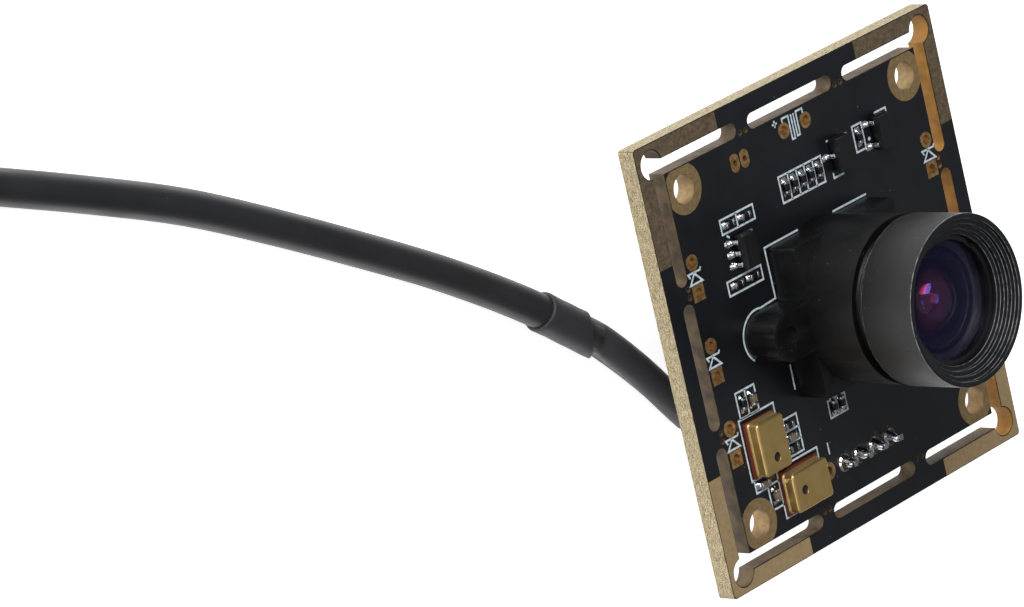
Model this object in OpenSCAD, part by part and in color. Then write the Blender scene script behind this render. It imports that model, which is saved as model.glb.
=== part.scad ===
// USB camera module: a square circuit board with a snap-off frame, a screw-in
// lens in a moulded holder, two microphones, and a cable that ends in a USB plug.
// The lens looks up +Z. The board's back parts and the cable rest on z = 0.

/* [Circuit board] */
// Side of the square board with its snap-off frame
board_side = 38; // [37.8:0.1:42]
// Thickness of the board
board_t = 1.6; // [1.2:0.1:2]
// Side of the inner board, once the frame is snapped off
inner_side = 32.2; // [31.8:0.1:32.6]
// Width of the routed slots between inner board and frame
slot_w = 1.3; // [1:0.05:1.4]
// Length of the routed slot at the middle of each side
mid_slot_l = 10.7; // [8:0.1:12]
// Width of the bridges that hold the frame
bridge_w = 1.5; // [1.2:0.1:2]
// Diameter of the drilled perforations in a bridge
bite_d = 0.4; // [0.3:0.05:0.5]
// Diameter of the relief hole where two slots meet in a corner
relief_d = 2.4; // [2:0.1:2.8]
// Thickness of the gold-plated copper on the board
copper_t = 0.05; // [0.04:0.01:0.08]
// Length of the bare gold pads along the frame, from each corner
corner_pad_l = 10; // [6:0.5:12]

/* [Mounting holes] */
// Distance between mounting holes, both ways
mount_pitch = 28.5; // [27:0.1:28.5]
// Bore of a plated mounting hole
mount_hole_d = 2.4; // [2.2:0.1:2.6]
// Diameter of the gold ring round a mounting hole
mount_ring_d = 4.2; // [3.8:0.1:4.4]

/* [Light pads] */
// Distance between neighbouring pairs of light pads
light_pitch = 7.05; // [6.5:0.05:7.4]
// Distance between the two pads of a pair
light_pair = 2.54; // [2.3:0.02:2.7]
// Distance of the pads from the inner board's edge
light_inset = 0.9; // [0.8:0.05:1.2]
// Width of a pad
light_pad_d = 1.35; // [1.1:0.05:1.5]
// Bore of a pad
light_bore_d = 0.8; // [0.6:0.05:0.9]

/* [Lens holder] */
// Diameter of the round tower that carries the lens
tower_d = 13.8; // [13.2:0.1:14.4]
// Height of the tower above the board
tower_h = 8; // [7.7:0.1:8.6]
// Width of the square foot
foot_w = 12.9; // [11.9:0.1:13.3]
// Height of the square foot
foot_h = 2.85; // [2.7:0.05:3.1]
// Distance between the two screw ears
ear_pitch = 18.4; // [17.8:0.1:19]
// Diameter of a screw ear
ear_d = 4.1; // [3.8:0.1:4.4]
// Height of a screw ear
ear_h = 3.2; // [3:0.05:3.6]
// Diameter of the moulded dimple in the top of an ear
dimple_d = 1.6; // [1.2:0.1:2]
// Shank diameter of the screws that hold the holder from behind
screw_d = 1.6; // [1.4:0.1:1.8]
// Head diameter of those screws
screw_head_d = 3.2; // [2.8:0.1:3.4]
// Shank length of those screws
screw_l = 4; // [3.6:0.1:4.2]

/* [Lens] */
// Outside diameter of the lens thread
thread_d = 12; // [11.6:0.1:12.2]
// Radial play of the thread in the holder
thread_play = 0.06; // [0.03:0.01:0.09]
// Length of the threaded shank
shank_l = 5.15; // [4.9:0.05:5.3]
// Diameter of the lens head
head_d = 14; // [13.4:0.1:14.6]
// Length of the lens head
head_l = 5.15; // [4.8:0.05:5.6]
// Gap between the tower and the lens head at best focus
focus_gap = 1.05; // [0.8:0.05:1.3]
// Wall of the hood at its mouth
hood_wall = 0.45; // [0.3:0.05:0.6]
// Depth and width of one step inside the hood
hood_step = 0.42; // [0.36:0.02:0.46]
// Steps inside the hood
hood_steps = 4; // [3:1:4]
// Width of the front retaining ring
retainer_w = 0.45; // [0.35:0.05:0.6]
// Diameter of the elements behind the front one
element_d = 8.3; // [7.6:0.1:8.6]
// Diameter of the opening in the aperture stop
stop_d = 2.4; // [1.6:0.1:3]

/* [Microphones] */
// Length of a microphone's small board
mic_l = 4.72; // [4.5:0.02:4.9]
// Width of a microphone's small board
mic_w = 3.76; // [3.6:0.02:3.9]
// Thickness of a microphone's small board
mic_board_t = 0.32; // [0.25:0.01:0.4]
// Margin between the small board's long edges and the can
mic_margin = 0.23; // [0.18:0.01:0.35]
// Height of the can above the small board
mic_can_h = 1.08; // [0.9:0.02:1.2]
// Diameter of the sound hole
mic_port_d = 0.78; // [0.6:0.02:0.9]

/* [Connector] */
// Distance between connector pins
pin_pitch = 2; // [2:0.05:2.1]
// Width of a square connector pin
pin_w = 0.5; // [0.45:0.05:0.55]
// Height of the header below the board
header_h = 6; // [5.6:0.1:6.4]
// Width of the header across its row
header_w = 4.5; // [4.4:0.1:4.9]
// Wall of the header
header_wall = 0.7; // [0.6:0.05:0.75]
// How far the plug stands out of the header
plug_proud = 2; // [1.6:0.1:2.4]
// Clearance of the plug in the header
plug_play = 0.15; // [0.1:0.05:0.2]
// Room below the plug in which the wires bend
wire_room = 2.4; // [2.2:0.1:2.8]
// Diameter of an insulated wire
wire_d = 1; // [0.9:0.05:1]

/* [Cable] */
// Diameter of the cable's jacket
cable_d = 2.9; // [2.8:0.05:3]
// Wall of the shrunk sleeve on the end of the jacket
sleeve_wall = 0.2; // [0.15:0.05:0.3]
// Clearance between sleeve and jacket
sleeve_play = 0.05; // [0.03:0.01:0.08]
// Diameter of the stored coil at the middle of its turns
coil_mid_d = 32; // [31:0.5:34]
// Thickness of the strap round the coil
tie_t = 0.4; // [0.3:0.05:0.5]
// Width of the strap round the coil
tie_w = 5; // [4:0.5:7]

/* [USB plug] */
// Length of the moulded grip
grip_l = 22; // [18:0.5:26]
// Width of the moulded grip
grip_w = 15.6; // [15:0.1:17]
// Thickness of the moulded grip
grip_t = 8.4; // [8:0.1:9]
// Length of the tapered strain relief
relief_l = 9; // [8:0.5:11]
// Length of the metal shell outside the grip
shell_l = 12; // [11.5:0.1:12.5]
// Width of the metal shell
shell_w = 12; // [11.8:0.1:12.2]
// Height of the metal shell
shell_h = 4.5; // [4.3:0.05:4.7]
// Thickness of the metal shell
shell_t = 0.3; // [0.25:0.05:0.4]

/* [Hidden] */
$fn = 48;
E = 0.01;                                    // overshoot of a cut past a face

// ---- heights ----
board_z = header_h + plug_proud + wire_room; // back face of the board
board_top = board_z + board_t;               // front face of the board
head_z = board_top + tower_h + focus_gap;    // back of the lens head
front_z = head_z + head_l;                   // mouth of the hood
shank_z = head_z - shank_l;                  // back end of the threaded shank

// ---- board ----
inner_half = inner_side / 2;
slot_mid = inner_half + slot_w / 2;          // slot centre line from the middle
slot_far = inner_half + slot_w;              // slot's outer wall
relief_at = slot_far - 0.15;                 // relief holes' centres
board_r = 0.35;                              // rounding of the board's outer corners
corner_slot_s = mid_slot_l / 2 + bridge_w;   // where a corner slot starts
bite_gap = 0.7;                              // between the perforations of a bridge
bite_inset = 0.17;                           // perforations' centre past the inner edge
pad_edge = 0.08;                             // copper's distance from a cut edge
plating = 0.05;                              // wall of a plated hole
mount_at = mount_pitch / 2;
light_x = inner_half - light_inset;
light_mid = 0.03;                            // pad pairs sit this much above the middle
top_light_y = 14.75;
top_light_x = 1.38;
slim_pads = [[-7.83, 14.2], [-6.62, 14.2]];  // oval pads
slim_pad_w = 1.05;
slim_pad_l = 1.55;
slim_bore_d = 0.5;
screw_clear = 0.2;                           // radial clearance of screws in the board

// ---- connector row: four pins and one empty hole ----
row_y = -13.3;
row_x = 0.1;                                 // middle of the four pins
pins = 4;
pin_x = [for (i = [0:pins - 1]) row_x + (i - (pins - 1) / 2) * pin_pitch];
row_holes = concat([pin_x[0] - pin_pitch], pin_x);
row_pad_d = 1.5;
row_bore_d = 0.76;
header_base = 1.2;
header_over = 1.95;                          // header past its end pins
header_l = (pins - 1) * pin_pitch + 2 * header_over;
pin_tail = 1.3;                              // pin above the board's front
pin_engage = 3.4;                            // pin inside the plug
rib_w = 1.0;                                 // keying ribs on the plug
rib_h = 0.45;
rib_x = 2.4;
crimp_w = 1.2;                               // contact box inside the plug
crimp_d = 1.5;
crimp_l = 4;
plug_top = board_z - copper_t - header_base - plug_play;
crimp_top = plug_top - 0.6;
wire_gap = 0.04;                             // between wires that lie side by side
wire_lead = 1.6;                             // wires run straight into the wrap

// ---- lens holder ----
foot_r = 0.4;                                // rounding of the foot's upright edges
foot_off = 0.12;                             // the foot stands this far off the lens axis
cavity_w = 9.8;                              // room over the image sensor
shelf_z = 2.15;                              // underside of the filter shelf
shelf_t = 0.55;
filter_w = 7.6;
filter_t = 0.3;
filter_open = 5.6;
pilot_d = screw_d;
pilot_l = screw_l - board_t + 0.15;
screw_head_h = 1.1;
dimple_deep = 0.3;
lead_in = 0.35;                              // chamfer at the mouth of the thread

// ---- lens: planes up the stack, from the back end of the shank ----
lip_t = 0.4;
lip_open_d = 6.2;
rear_t = 1.3;
rear_gap = 0.6;
flint_t = 0.7;
crown_t = 1;
stop_t = 0.2;
front_gap = 0.5;
second_r = 5;                                // radius of the second element's dome
glass_play = 0.04;
hood_r = head_d / 2 - hood_wall;
seat_r = hood_r - (hood_steps - 1) * hood_step; // bore over front element and retainer
retain_z = front_z - hood_steps * hood_step; // face of the retaining ring
retain_t = 0.35;
front_t = 2.4;                               // front element, at its rim
front_r = 30;                                // radius of its outer face
hollow_r = 4.6;                              // radius of the hollow behind it
hollow_d = 7.6;                              // width of that hollow
rear_z = shank_z + lip_t;
flint_z = rear_z + rear_t + rear_gap;
crown_z = flint_z + flint_t;
stop_z = crown_z + crown_t;
second_z = stop_z + stop_t + front_gap;
front_seat_z = retain_z - retain_t - front_t;
second_rim = front_seat_z - second_z;        // the front element rests on this rim
stack_r = element_d / 2;
spacer_w = 0.8;

// ---- chips on the board: [x, y, turned, capacitor] ----
chip_l = 1.05;
chip_w = 0.55;
chip_h = 0.35;
chip_end = 0.27;
cap_h = 0.5;
front_chips = [
    [-10.1, 9.85, 0, 0], [-8.1, 9.85, 0, 0],
    [-10.6, 4.9, 0, 0], [-8.65, 4.9, 0, 0],
    for (i = [0:4]) [-2.65 + 1.07 * i, 10.35, 1, 0],
    [7.2, 11.3, 1, 0],
    [-13.1, -4.35, 1, 0], [-12.0, -4.35, 1, 1],
    [-8.5, -7.95, 0, 0], [-8.5, -8.95, 0, 1], [-8.5, -9.9, 0, 0],
    [-12.85, -11.35, 0, 1], [-11.75, -12.75, 1, 1],
    [-2.75, -8.45, 1, 0], [-1.75, -8.45, 1, 0]
];
back_chips = [
    for (i = [0:4]) [-5.6, 0.4 + 1.5 * i, 0, i % 2],
    for (i = [0:3]) [-0.4 + 1.5 * i, 9.2, 1, (i + 1) % 2],
    for (i = [0:2]) [5.6, -3.4 + 1.5 * i, 0, 1],
    for (i = [0:2]) [-10.6 + 1.4 * i, 4.2, 1, i % 2],
    [11.8, 4.2, 1, 1], [10.4, 4.2, 1, 0], [-1.2, -6.9, 0, 1], [2.4, -6.9, 0, 0]
];

// ---- small outline packages: [x, y, leads at -X, leads at +X, length] ----
sot_w = 1.6;
sot_h = 1.05;
sot_off = 0.08;                              // body above the board
sot_span = 2.8;                              // across the lead tips
sot_lead_w = 0.4;
sot_lead_t = 0.15;
sot_pitch = 0.95;
front_sots = [
    [-9.25, 7.35, [-1, 0, 1], [-1, 0, 1], 2.9],
    [4.15, 11.0, [0], [-1, 1], 2.9],
    [9.6, 11.05, [-1, 1], [0], 2.9]
];
back_sots = [
    [-10.4, 9.9, [-1, 0, 1], [-1, 1], 2.9],
    [-10.4, -9.4, [-1, 0, 1], [-1, 1], 2.9]
];

// ---- microphones: [x, y, angle] ----
mics = [[-11.9, -8.3, 0], [-8.55, -13.05, -90]];
mic_port_off = 1.03;
mic_can_r = 0.3;
mic_end = 0.12;                              // margin at the small board's short edges
mic_brim = 0.1;                              // foot flange round the can
mic_brim_t = 0.14;

// ---- bigger chips behind the board ----
control_at = [0.8, 3.6];
control_w = 7;
control_h = 0.85;
control_pads = 12;
control_pad_w = 0.26;
flash_at = [9.2, 9.4];
flash_l = 4.9;
flash_w = 3.9;
flash_h = 1.45;
flash_span = 6;
flash_pitch = 1.27;
crystal_at = [-6.4, 10.6];
crystal_l = 3.2;
crystal_w = 2.5;
crystal_h = 0.75;
coil_at = [10.2, -6.6];                      // power inductor
inductor_w = 3;
inductor_h = 1.5;

// ---- image sensor ----
sensor_l = 7.6;
sensor_w = 6.9;
sensor_h = 0.85;
sensor_glass_h = 0.4;

// ---- cable: where it runs, on the surface it rests on ----
cable_z = cable_d / 2;
sleeve_z = cable_z + sleeve_play + sleeve_wall; // the sleeve rests there, so its core is up
wrap_end = [-8.6, -7.6];                     // the wires part here
sleeve_a = [-22.8, 6.8];                     // end of the sleeve on the jacket
sleeve_b = [-16.9, 2.1];                     // end of the sleeve towards the board
jacket_end = [-17.7, 2.74];                  // the jacket stops inside the sleeve
route = [[-26.4, 9.5], [-32.6, 13.6], [-39.4, 17.7], [-48.2, 22.8], [-56.7, 27.4],
         [-65.3, 31.3], [-73.8, 34.9], [-82.8, 38.6], [-89.9, 41.5]];
wrap_route = [[-13.4, -1.5], [-10.7, -4.9]];
wrap_wide = 1.4;                             // half widths of the wrapped wires
wrap_high = 1.05;
coil_c = [-105, 27.2];                       // centre of the stored coil
coil_in_angle = 67.6;                        // the jacket meets the coil here
coil_out_angle = 180;                        // and leaves it here
coil_cols = 3;
coil_rows = 3;
coil_turn_r = coil_mid_d / 2 + (coil_cols - 1) / 2 * cable_d;
coil_wide = coil_cols * cable_d;
coil_high = coil_rows * cable_d;
tie_angle = -35;
tail_l = 13;                                 // from the coil to the strain relief
coil_tuck = 0.1;                             // ends of the cable are tucked into the coil by this
plug_z = grip_t / 2;

// ---- USB plug ----
relief_d1 = 4.4;                             // strain relief at the cable
relief_d2 = 6.6;                             // strain relief at the grip
relief_ribs = 4;
grip_r = 2;
tongue_h = 1.84;
contact_w = 1;
contact_t = 0.25;
window_w = 2.4;
window_off = 2.55;
window_y = 5.6;

// ================= helpers =================

module rounded(w, l, r) {
    square([w - 2 * r, l], center = true);
    square([w, l - 2 * r], center = true);
    for (x = [-1, 1], y = [-1, 1])
        translate([x * (w / 2 - r), y * (l / 2 - r)])
            circle(r);
}

// Slot with round ends along X, from x0 to x1.
module slot(x0, x1, w) {
    translate([x0 + w / 2, -w / 2])
        square([x1 - x0 - w, w]);
    for (x = [x0 + w / 2, x1 - w / 2])
        translate([x, 0])
            circle(w / 2);
}

module ring(outer_r, inner_r, h) {
    linear_extrude(h)
        difference() {
            circle(outer_r);
            circle(inner_r);
        }
}

module on_front() {
    translate([0, 0, board_top])
        children();
}

module on_back() {
    translate([0, 0, board_z])
        mirror([0, 0, 1])
            children();
}

// Side view of a block with a flat foot and two rounded shoulders.
module shoulders(w, h, r) {
    translate([-w / 2, 0])
        square([w, h - r]);
    translate([-w / 2 + r, 0])
        square([w - 2 * r, h]);
    for (x = [-1, 1])
        translate([x * (w / 2 - r), h - r])
            circle(r);
}

// Drawn box whose upright edges and top edges are all rounded.
module drawn_box(w, l, h, r) {
    intersection() {
        linear_extrude(h)
            rounded(w, l, r);
        rotate([90, 0, 0])
            linear_extrude(l, center = true)
                shoulders(w, h, r);
        rotate([90, 0, 90])
            linear_extrude(w, center = true)
                shoulders(l, h, r);
    }
}

// Plated hole: a pad on each face, joined by a barrel. The pad is a 2D child.
module plated_hole(x, y, bore_d) {
    translate([x, y, 0])
        difference() {
            union() {
                translate([0, 0, board_z - copper_t])
                    linear_extrude(copper_t)
                        children();
                translate([0, 0, board_top])
                    linear_extrude(copper_t)
                        children();
                translate([0, 0, board_z - copper_t / 2])
                    cylinder(d = bore_d + 2 * plating, h = board_t + copper_t);
            }
            translate([0, 0, board_z - 1])
                cylinder(d = bore_d, h = board_t + 2);
        }
}

// ---- swept tubes ----

function unit(v) = v / norm(v);
function tangent(p, i) = unit(p[min(i + 1, len(p) - 1)] - p[max(i - 1, 0)]);
function square_to(v, t) = unit(v - (v * t) * t);

// Normals carried along the path with no needless turn.
function normals(p, n0) = [
    for (i = 0, n = square_to(n0, tangent(p, 0)); i < len(p);
         i = i + 1, n = i < len(p) ? square_to(n, tangent(p, i)) : n) n];

// Quadratic spline through the middles of the control polygon's legs.
function spline(c, steps) = concat(
    [for (i = [0:len(c) - 3], k = [0:steps - 1])
        let (t = k / steps)
            (1 - t) * (1 - t) / 2 * c[i] + (0.5 + t * (1 - t)) * c[i + 1] + t * t / 2 * c[i + 2]],
    [(c[len(c) - 2] + c[len(c) - 1]) / 2]);

module swept(p, n0, wide, high, turn = 0, sides = 8) {
    n = normals(p, n0);
    last = len(p) - 1;
    points = [for (i = [0:last], k = [0:sides - 1])
        let (b = cross(tangent(p, i), n[i]), a = 360 * k / sides, s = turn * i / last,
             u = wide * cos(a), v = high * sin(a))
            p[i] + (u * cos(s) - v * sin(s)) * n[i] + (u * sin(s) + v * cos(s)) * b];
    walls = [for (i = [0:last - 1], k = [0:sides - 1])
        let (a = i * sides + k, b = i * sides + (k + 1) % sides)
            each [[a, b, b + sides], [a, b + sides, a + sides]]];
    caps = [[for (k = [0:sides - 1]) sides - 1 - k],
            [for (k = [0:sides - 1]) last * sides + k]];
    polyhedron(points, [for (f = concat(walls, caps)) [for (i = [len(f) - 1:-1:0]) f[i]]]);
}

// ================= circuit board =================

module frame_slots() {
    for (a = [0:90:270])
        rotate(a) {
            translate([0, slot_mid])
                slot(-mid_slot_l / 2, mid_slot_l / 2, slot_w);
            for (m = [0, 1])
                mirror([m, 0])
                    translate([0, slot_mid])
                        slot(corner_slot_s, slot_far, slot_w);
            translate([relief_at, relief_at])
                circle(d = relief_d);
            for (x = [-1, 1], b = [-1, 1])
                translate([x * (mid_slot_l / 2 + bridge_w / 2) + b * bite_gap / 2,
                           inner_half + bite_inset])
                    circle(d = bite_d);
        }
}

// Children are placed at each round and each square light pad.
module at_round_pads() {
    for (x = [-1, 1], k = [-1, 0, 1])
        translate([x * light_x, k * light_pitch + light_pair / 2 + light_mid])
            children();
    for (x = [-1, 1])
        translate([x * top_light_x, top_light_y])
            children();
}

module at_square_pads() {
    for (x = [-1, 1], k = [-1, 0, 1])
        translate([x * light_x, k * light_pitch - light_pair / 2 + light_mid])
            children();
}

module circuit_board() {
    color([0.10, 0.10, 0.12])
        translate([0, 0, board_z])
            linear_extrude(board_t)
                difference() {
                    rounded(board_side, board_side, board_r);
                    frame_slots();
                    for (x = [-1, 1], y = [-1, 1])
                        translate([x * mount_at, y * mount_at])
                            circle(d = mount_hole_d + 2 * plating);
                    at_round_pads()
                        circle(d = light_bore_d + 2 * plating);
                    at_square_pads()
                        circle(d = light_bore_d + 2 * plating);
                    for (p = slim_pads)
                        translate(p)
                            circle(d = slim_bore_d + 2 * plating);
                    for (x = row_holes)
                        translate([x, row_y])
                            circle(d = row_bore_d + 2 * plating);
                    for (x = [-1, 1])
                        translate([x * ear_pitch / 2, 0])
                            circle(d = screw_d + 2 * screw_clear);
                }
}

module corner_pads() {
    half = board_side / 2 - pad_edge;
    color([0.78, 0.67, 0.47])
        on_front()
            linear_extrude(copper_t)
                for (a = [0:90:270])
                    rotate(a)
                        difference() {
                            intersection() {
                                translate([half - corner_pad_l, half - corner_pad_l])
                                    square(corner_pad_l);
                                rounded(2 * half, 2 * half, board_r);
                            }
                            square(2 * (slot_far + pad_edge), center = true);
                            translate([relief_at, relief_at])
                                circle(d = relief_d + 2 * pad_edge);
                        }
}

module mount_hole_rings() {
    color([0.80, 0.69, 0.50])
        for (x = [-1, 1], y = [-1, 1])
            plated_hole(x * mount_at, y * mount_at, mount_hole_d)
                intersection() {
                    circle(d = mount_ring_d);
                    translate([-x * mount_at, -y * mount_at])
                        square(inner_side - 2 * pad_edge, center = true);
                }
}

module light_pads() {
    color([0.80, 0.62, 0.40]) {
        at_round_pads()
            plated_hole(0, 0, light_bore_d)
                circle(d = light_pad_d);
        at_square_pads()
            plated_hole(0, 0, light_bore_d)
                square(light_pad_d, center = true);
        for (p = slim_pads)
            plated_hole(p.x, p.y, slim_bore_d)
                rotate(90)
                    slot(-slim_pad_l / 2, slim_pad_l / 2, slim_pad_w);
    }
}

module header_pads() {
    color([0.80, 0.66, 0.42])
        for (x = row_holes)
            plated_hole(x, row_y, row_bore_d)
                circle(d = row_pad_d);
}

// ================= image sensor and lens holder =================

module image_sensor() {
    color([0.16, 0.16, 0.17])
        on_front()
            linear_extrude(sensor_h)
                square([sensor_l, sensor_w], center = true);
}

module sensor_glass() {
    color([0.35, 0.42, 0.45])
        on_front()
            translate([0, 0, sensor_h])
                linear_extrude(sensor_glass_h)
                    square([sensor_l - 0.8, sensor_w - 0.8], center = true);
}

module lens_holder() {
    bore_r = thread_d / 2 + thread_play;
    color([0.09, 0.09, 0.09])
        on_front()
            difference() {
                union() {
                    translate([foot_off, 0, 0])
                        linear_extrude(foot_h)
                            rounded(foot_w, foot_w, foot_r);
                    cylinder(d = tower_d, h = tower_h, $fn = 96);
                    for (x = [-1, 1]) {
                        translate([x * ear_pitch / 2, 0, 0])
                            cylinder(d = ear_d, h = ear_h);
                        translate([x * ear_pitch / 4, 0, ear_h / 2])
                            cube([ear_pitch / 2, ear_d, ear_h], center = true);
                    }
                }
                translate([-cavity_w / 2, -cavity_w / 2, -E])
                    cube([cavity_w, cavity_w, shelf_z + E]);
                translate([-filter_open / 2, -filter_open / 2, 0])
                    cube([filter_open, filter_open, shelf_z + shelf_t + E]);
                translate([0, 0, shelf_z + shelf_t])
                    cylinder(r = bore_r, h = tower_h, $fn = 96);
                translate([0, 0, tower_h - lead_in])
                    cylinder(r1 = bore_r, r2 = bore_r + lead_in, h = lead_in + E, $fn = 96);
                for (x = [-1, 1])
                    translate([x * ear_pitch / 2, 0, 0]) {
                        translate([0, 0, -E])
                            cylinder(d = pilot_d, h = pilot_l + E);
                        translate([0, 0, ear_h - dimple_deep])
                            cylinder(d = dimple_d, h = dimple_deep + E);
                    }
            }
}

module holder_screws() {
    recess = 0.5;
    color([0.55, 0.55, 0.56])
        for (x = [-1, 1])
            translate([x * ear_pitch / 2, 0, board_z])
                difference() {
                    union() {
                        cylinder(d = screw_d, h = screw_l);
                        rotate([180, 0, 0])
                            rotate_extrude()
                                intersection() {
                                    square([screw_head_d / 2, screw_head_h]);
                                    translate([0, screw_head_h - screw_head_d])
                                        circle(r = screw_head_d);
                                }
                    }
                    for (a = [0, 90])
                        rotate(a)
                            translate([0, 0, -screw_head_h + recess / 2 - E])
                                cube([screw_head_d * 0.56, 0.35, recess + 2 * E], center = true);
                }
}

module infrared_filter() {
    color([0.45, 0.70, 0.75, 0.6])
        on_front()
            translate([0, 0, shelf_z + shelf_t])
                linear_extrude(filter_t)
                    square(filter_w, center = true);
}

// ================= lens =================

module lens_barrel() {
    color([0.12, 0.12, 0.12])
        difference() {
            union() {
                translate([0, 0, shank_z])
                    cylinder(d = thread_d, h = shank_l + E, $fn = 96);
                translate([0, 0, head_z])
                    cylinder(d = head_d, h = head_l, $fn = 96);
            }
            translate([0, 0, shank_z - E])
                cylinder(d = lip_open_d, h = shank_l);
            translate([0, 0, rear_z])
                cylinder(r = stack_r + glass_play, h = front_seat_z - rear_z + E, $fn = 96);
            translate([0, 0, front_seat_z])
                cylinder(r = seat_r, h = front_z - front_seat_z, $fn = 96);
            for (i = [0:hood_steps - 1])
                translate([0, 0, front_z - (i + 1) * hood_step])
                    cylinder(r = hood_r - i * hood_step, h = (i + 1) * hood_step + E, $fn = 96);
        }
}

module front_retaining_ring() {
    notch_w = 0.8;
    notch = 0.2;
    color([0.13, 0.13, 0.13])
        translate([0, 0, retain_z - retain_t])
            difference() {
                ring(seat_r - glass_play, seat_r - retainer_w, retain_t);
                for (a = [45, 225])
                    rotate(a)
                        translate([seat_r - retainer_w, 0, retain_t])
                            cube([2 * retainer_w, notch_w, 2 * notch], center = true);
            }
}

// Front element: a shallow outer dome over a deep hollow.
module front_element() {
    r = seat_r - glass_play;
    held_r = seat_r - retainer_w;            // the retaining ring bears on the dome here
    sag = front_r - sqrt(front_r * front_r - held_r * held_r);
    deep = hollow_r - sqrt(hollow_r * hollow_r - hollow_d * hollow_d / 4);
    color([0.30, 0.26, 0.42, 0.5])
        translate([0, 0, front_seat_z])
            difference() {
                intersection() {
                    cylinder(r = r, h = front_t + sag, $fn = 96);
                    translate([0, 0, front_t + sag - front_r])
                        sphere(r = front_r, $fn = 96);
                }
                translate([0, 0, deep - hollow_r])
                    sphere(r = hollow_r, $fn = 96);
            }
}

module second_element() {
    dome = stack_r - 0.75;
    sag = second_r - sqrt(second_r * second_r - dome * dome);
    color([0.55, 0.35, 0.38, 0.5])
        translate([0, 0, second_z]) {
            cylinder(r = stack_r, h = second_rim);
            translate([0, 0, second_rim])
                intersection() {
                    cylinder(r = dome, h = sag);
                    translate([0, 0, sag - second_r])
                        sphere(r = second_r);
                }
        }
}

module front_spacer() {
    color([0.08, 0.08, 0.08])
        translate([0, 0, stop_z + stop_t])
            ring(stack_r, stack_r - spacer_w, front_gap);
}

module aperture_stop() {
    color([0.06, 0.06, 0.06])
        translate([0, 0, stop_z])
            ring(stack_r, stop_d / 2, stop_t);
}

module crown_element() {
    color([0.60, 0.65, 0.70, 0.5])
        translate([0, 0, crown_z])
            cylinder(r = stack_r, h = crown_t);
}

module flint_element() {
    color([0.50, 0.58, 0.62, 0.5])
        translate([0, 0, flint_z])
            cylinder(r = stack_r, h = flint_t);
}

module rear_spacer() {
    color([0.08, 0.08, 0.08])
        translate([0, 0, rear_z + rear_t])
            ring(stack_r, stack_r - spacer_w, rear_gap);
}

// Rear element: a disc hollowed a little on its upper face.
module rear_element() {
    hollow = 9;
    deep = 0.4;
    color([0.60, 0.65, 0.70, 0.5])
        translate([0, 0, rear_z])
            difference() {
                cylinder(r = stack_r, h = rear_t);
                translate([0, 0, rear_t - deep + hollow])
                    sphere(r = hollow);
            }
}

// ================= small parts on the board =================

// Places children at each listed chip, with the chip's length along X.
module at_chips(list, kinds) {
    for (c = list)
        if (len(search(c[3], kinds)) > 0)
            translate([c[0], c[1], 0])
                rotate(c[2] * 90)
                    children();
}

module chip_core(h) {
    translate([0, 0, h / 2])
        cube([chip_l - 2 * chip_end, chip_w - 0.03, h - 0.03], center = true);
}

module chip_caps(h) {
    for (x = [-1, 1])
        translate([x * (chip_l - chip_end) / 2, 0, h / 2])
            cube([chip_end, chip_w, h], center = true);
}

module resistor_bodies() {
    color([0.07, 0.07, 0.08]) {
        on_front()
            at_chips(front_chips, [0])
                chip_core(chip_h);
        on_back()
            at_chips(back_chips, [0])
                chip_core(chip_h);
    }
}

module capacitor_bodies() {
    color([0.62, 0.52, 0.42]) {
        on_front()
            at_chips(front_chips, [1])
                chip_core(cap_h);
        on_back()
            at_chips(back_chips, [1])
                chip_core(cap_h);
    }
}

module chip_end_caps() {
    color([0.78, 0.78, 0.78]) {
        on_front() {
            at_chips(front_chips, [0])
                chip_caps(chip_h);
            at_chips(front_chips, [1])
                chip_caps(cap_h);
        }
        on_back() {
            at_chips(back_chips, [0])
                chip_caps(chip_h);
            at_chips(back_chips, [1])
                chip_caps(cap_h);
        }
    }
}

// Chip body in two halves that taper away from the parting line.
module chip_body(w, l, h) {
    draft = 0.08;
    intersection() {
        rotate([90, 0, 0])
            linear_extrude(l, center = true)
                polygon([[-w / 2 + draft, 0], [w / 2 - draft, 0], [w / 2, h / 2],
                         [w / 2 - draft, h], [-w / 2 + draft, h], [-w / 2, h / 2]]);
        rotate([90, 0, 90])
            linear_extrude(w, center = true)
                polygon([[-l / 2 + draft, 0], [l / 2 - draft, 0], [l / 2, h / 2],
                         [l / 2 - draft, h], [-l / 2 + draft, h], [-l / 2, h / 2]]);
    }
}

// Bent lead from the side of a body at x = 0 down to a flat foot.
module gull_lead(reach, rise, w, t) {
    foot = reach * 0.5;
    knee = reach * 0.3;
    rotate([90, 0, 0])
        linear_extrude(w, center = true)
            polygon([[0, rise], [knee, rise], [reach - foot, t], [reach, t], [reach, 0],
                     [reach - foot - t * 0.6, 0], [knee - t * 0.6, rise - t], [0, rise - t]]);
}

module at_sots(list) {
    for (s = list)
        translate([s[0], s[1], 0])
            children();
}

module sot_leads(list) {
    reach = (sot_span - sot_w) / 2;
    rise = sot_off + sot_h / 2 + sot_lead_t / 2;
    for (s = list, side = [0, 1], k = s[2 + side])
        translate([s[0], s[1], 0])
            mirror([1 - side, 0, 0])
                translate([sot_w / 2, k * sot_pitch, 0])
                    gull_lead(reach, rise, sot_lead_w, sot_lead_t);
}

module small_chip_bodies() {
    color([0.11, 0.11, 0.12]) {
        on_front()
            at_sots(front_sots)
                translate([0, 0, sot_off])
                    chip_body(sot_w, front_sots[0][4], sot_h);
        on_back()
            at_sots(back_sots)
                translate([0, 0, sot_off])
                    chip_body(sot_w, back_sots[0][4], sot_h);
    }
}

module small_chip_leads() {
    color([0.80, 0.80, 0.80]) {
        on_front()
            sot_leads(front_sots);
        on_back()
            sot_leads(back_sots);
    }
}

// ================= microphones =================

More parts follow.
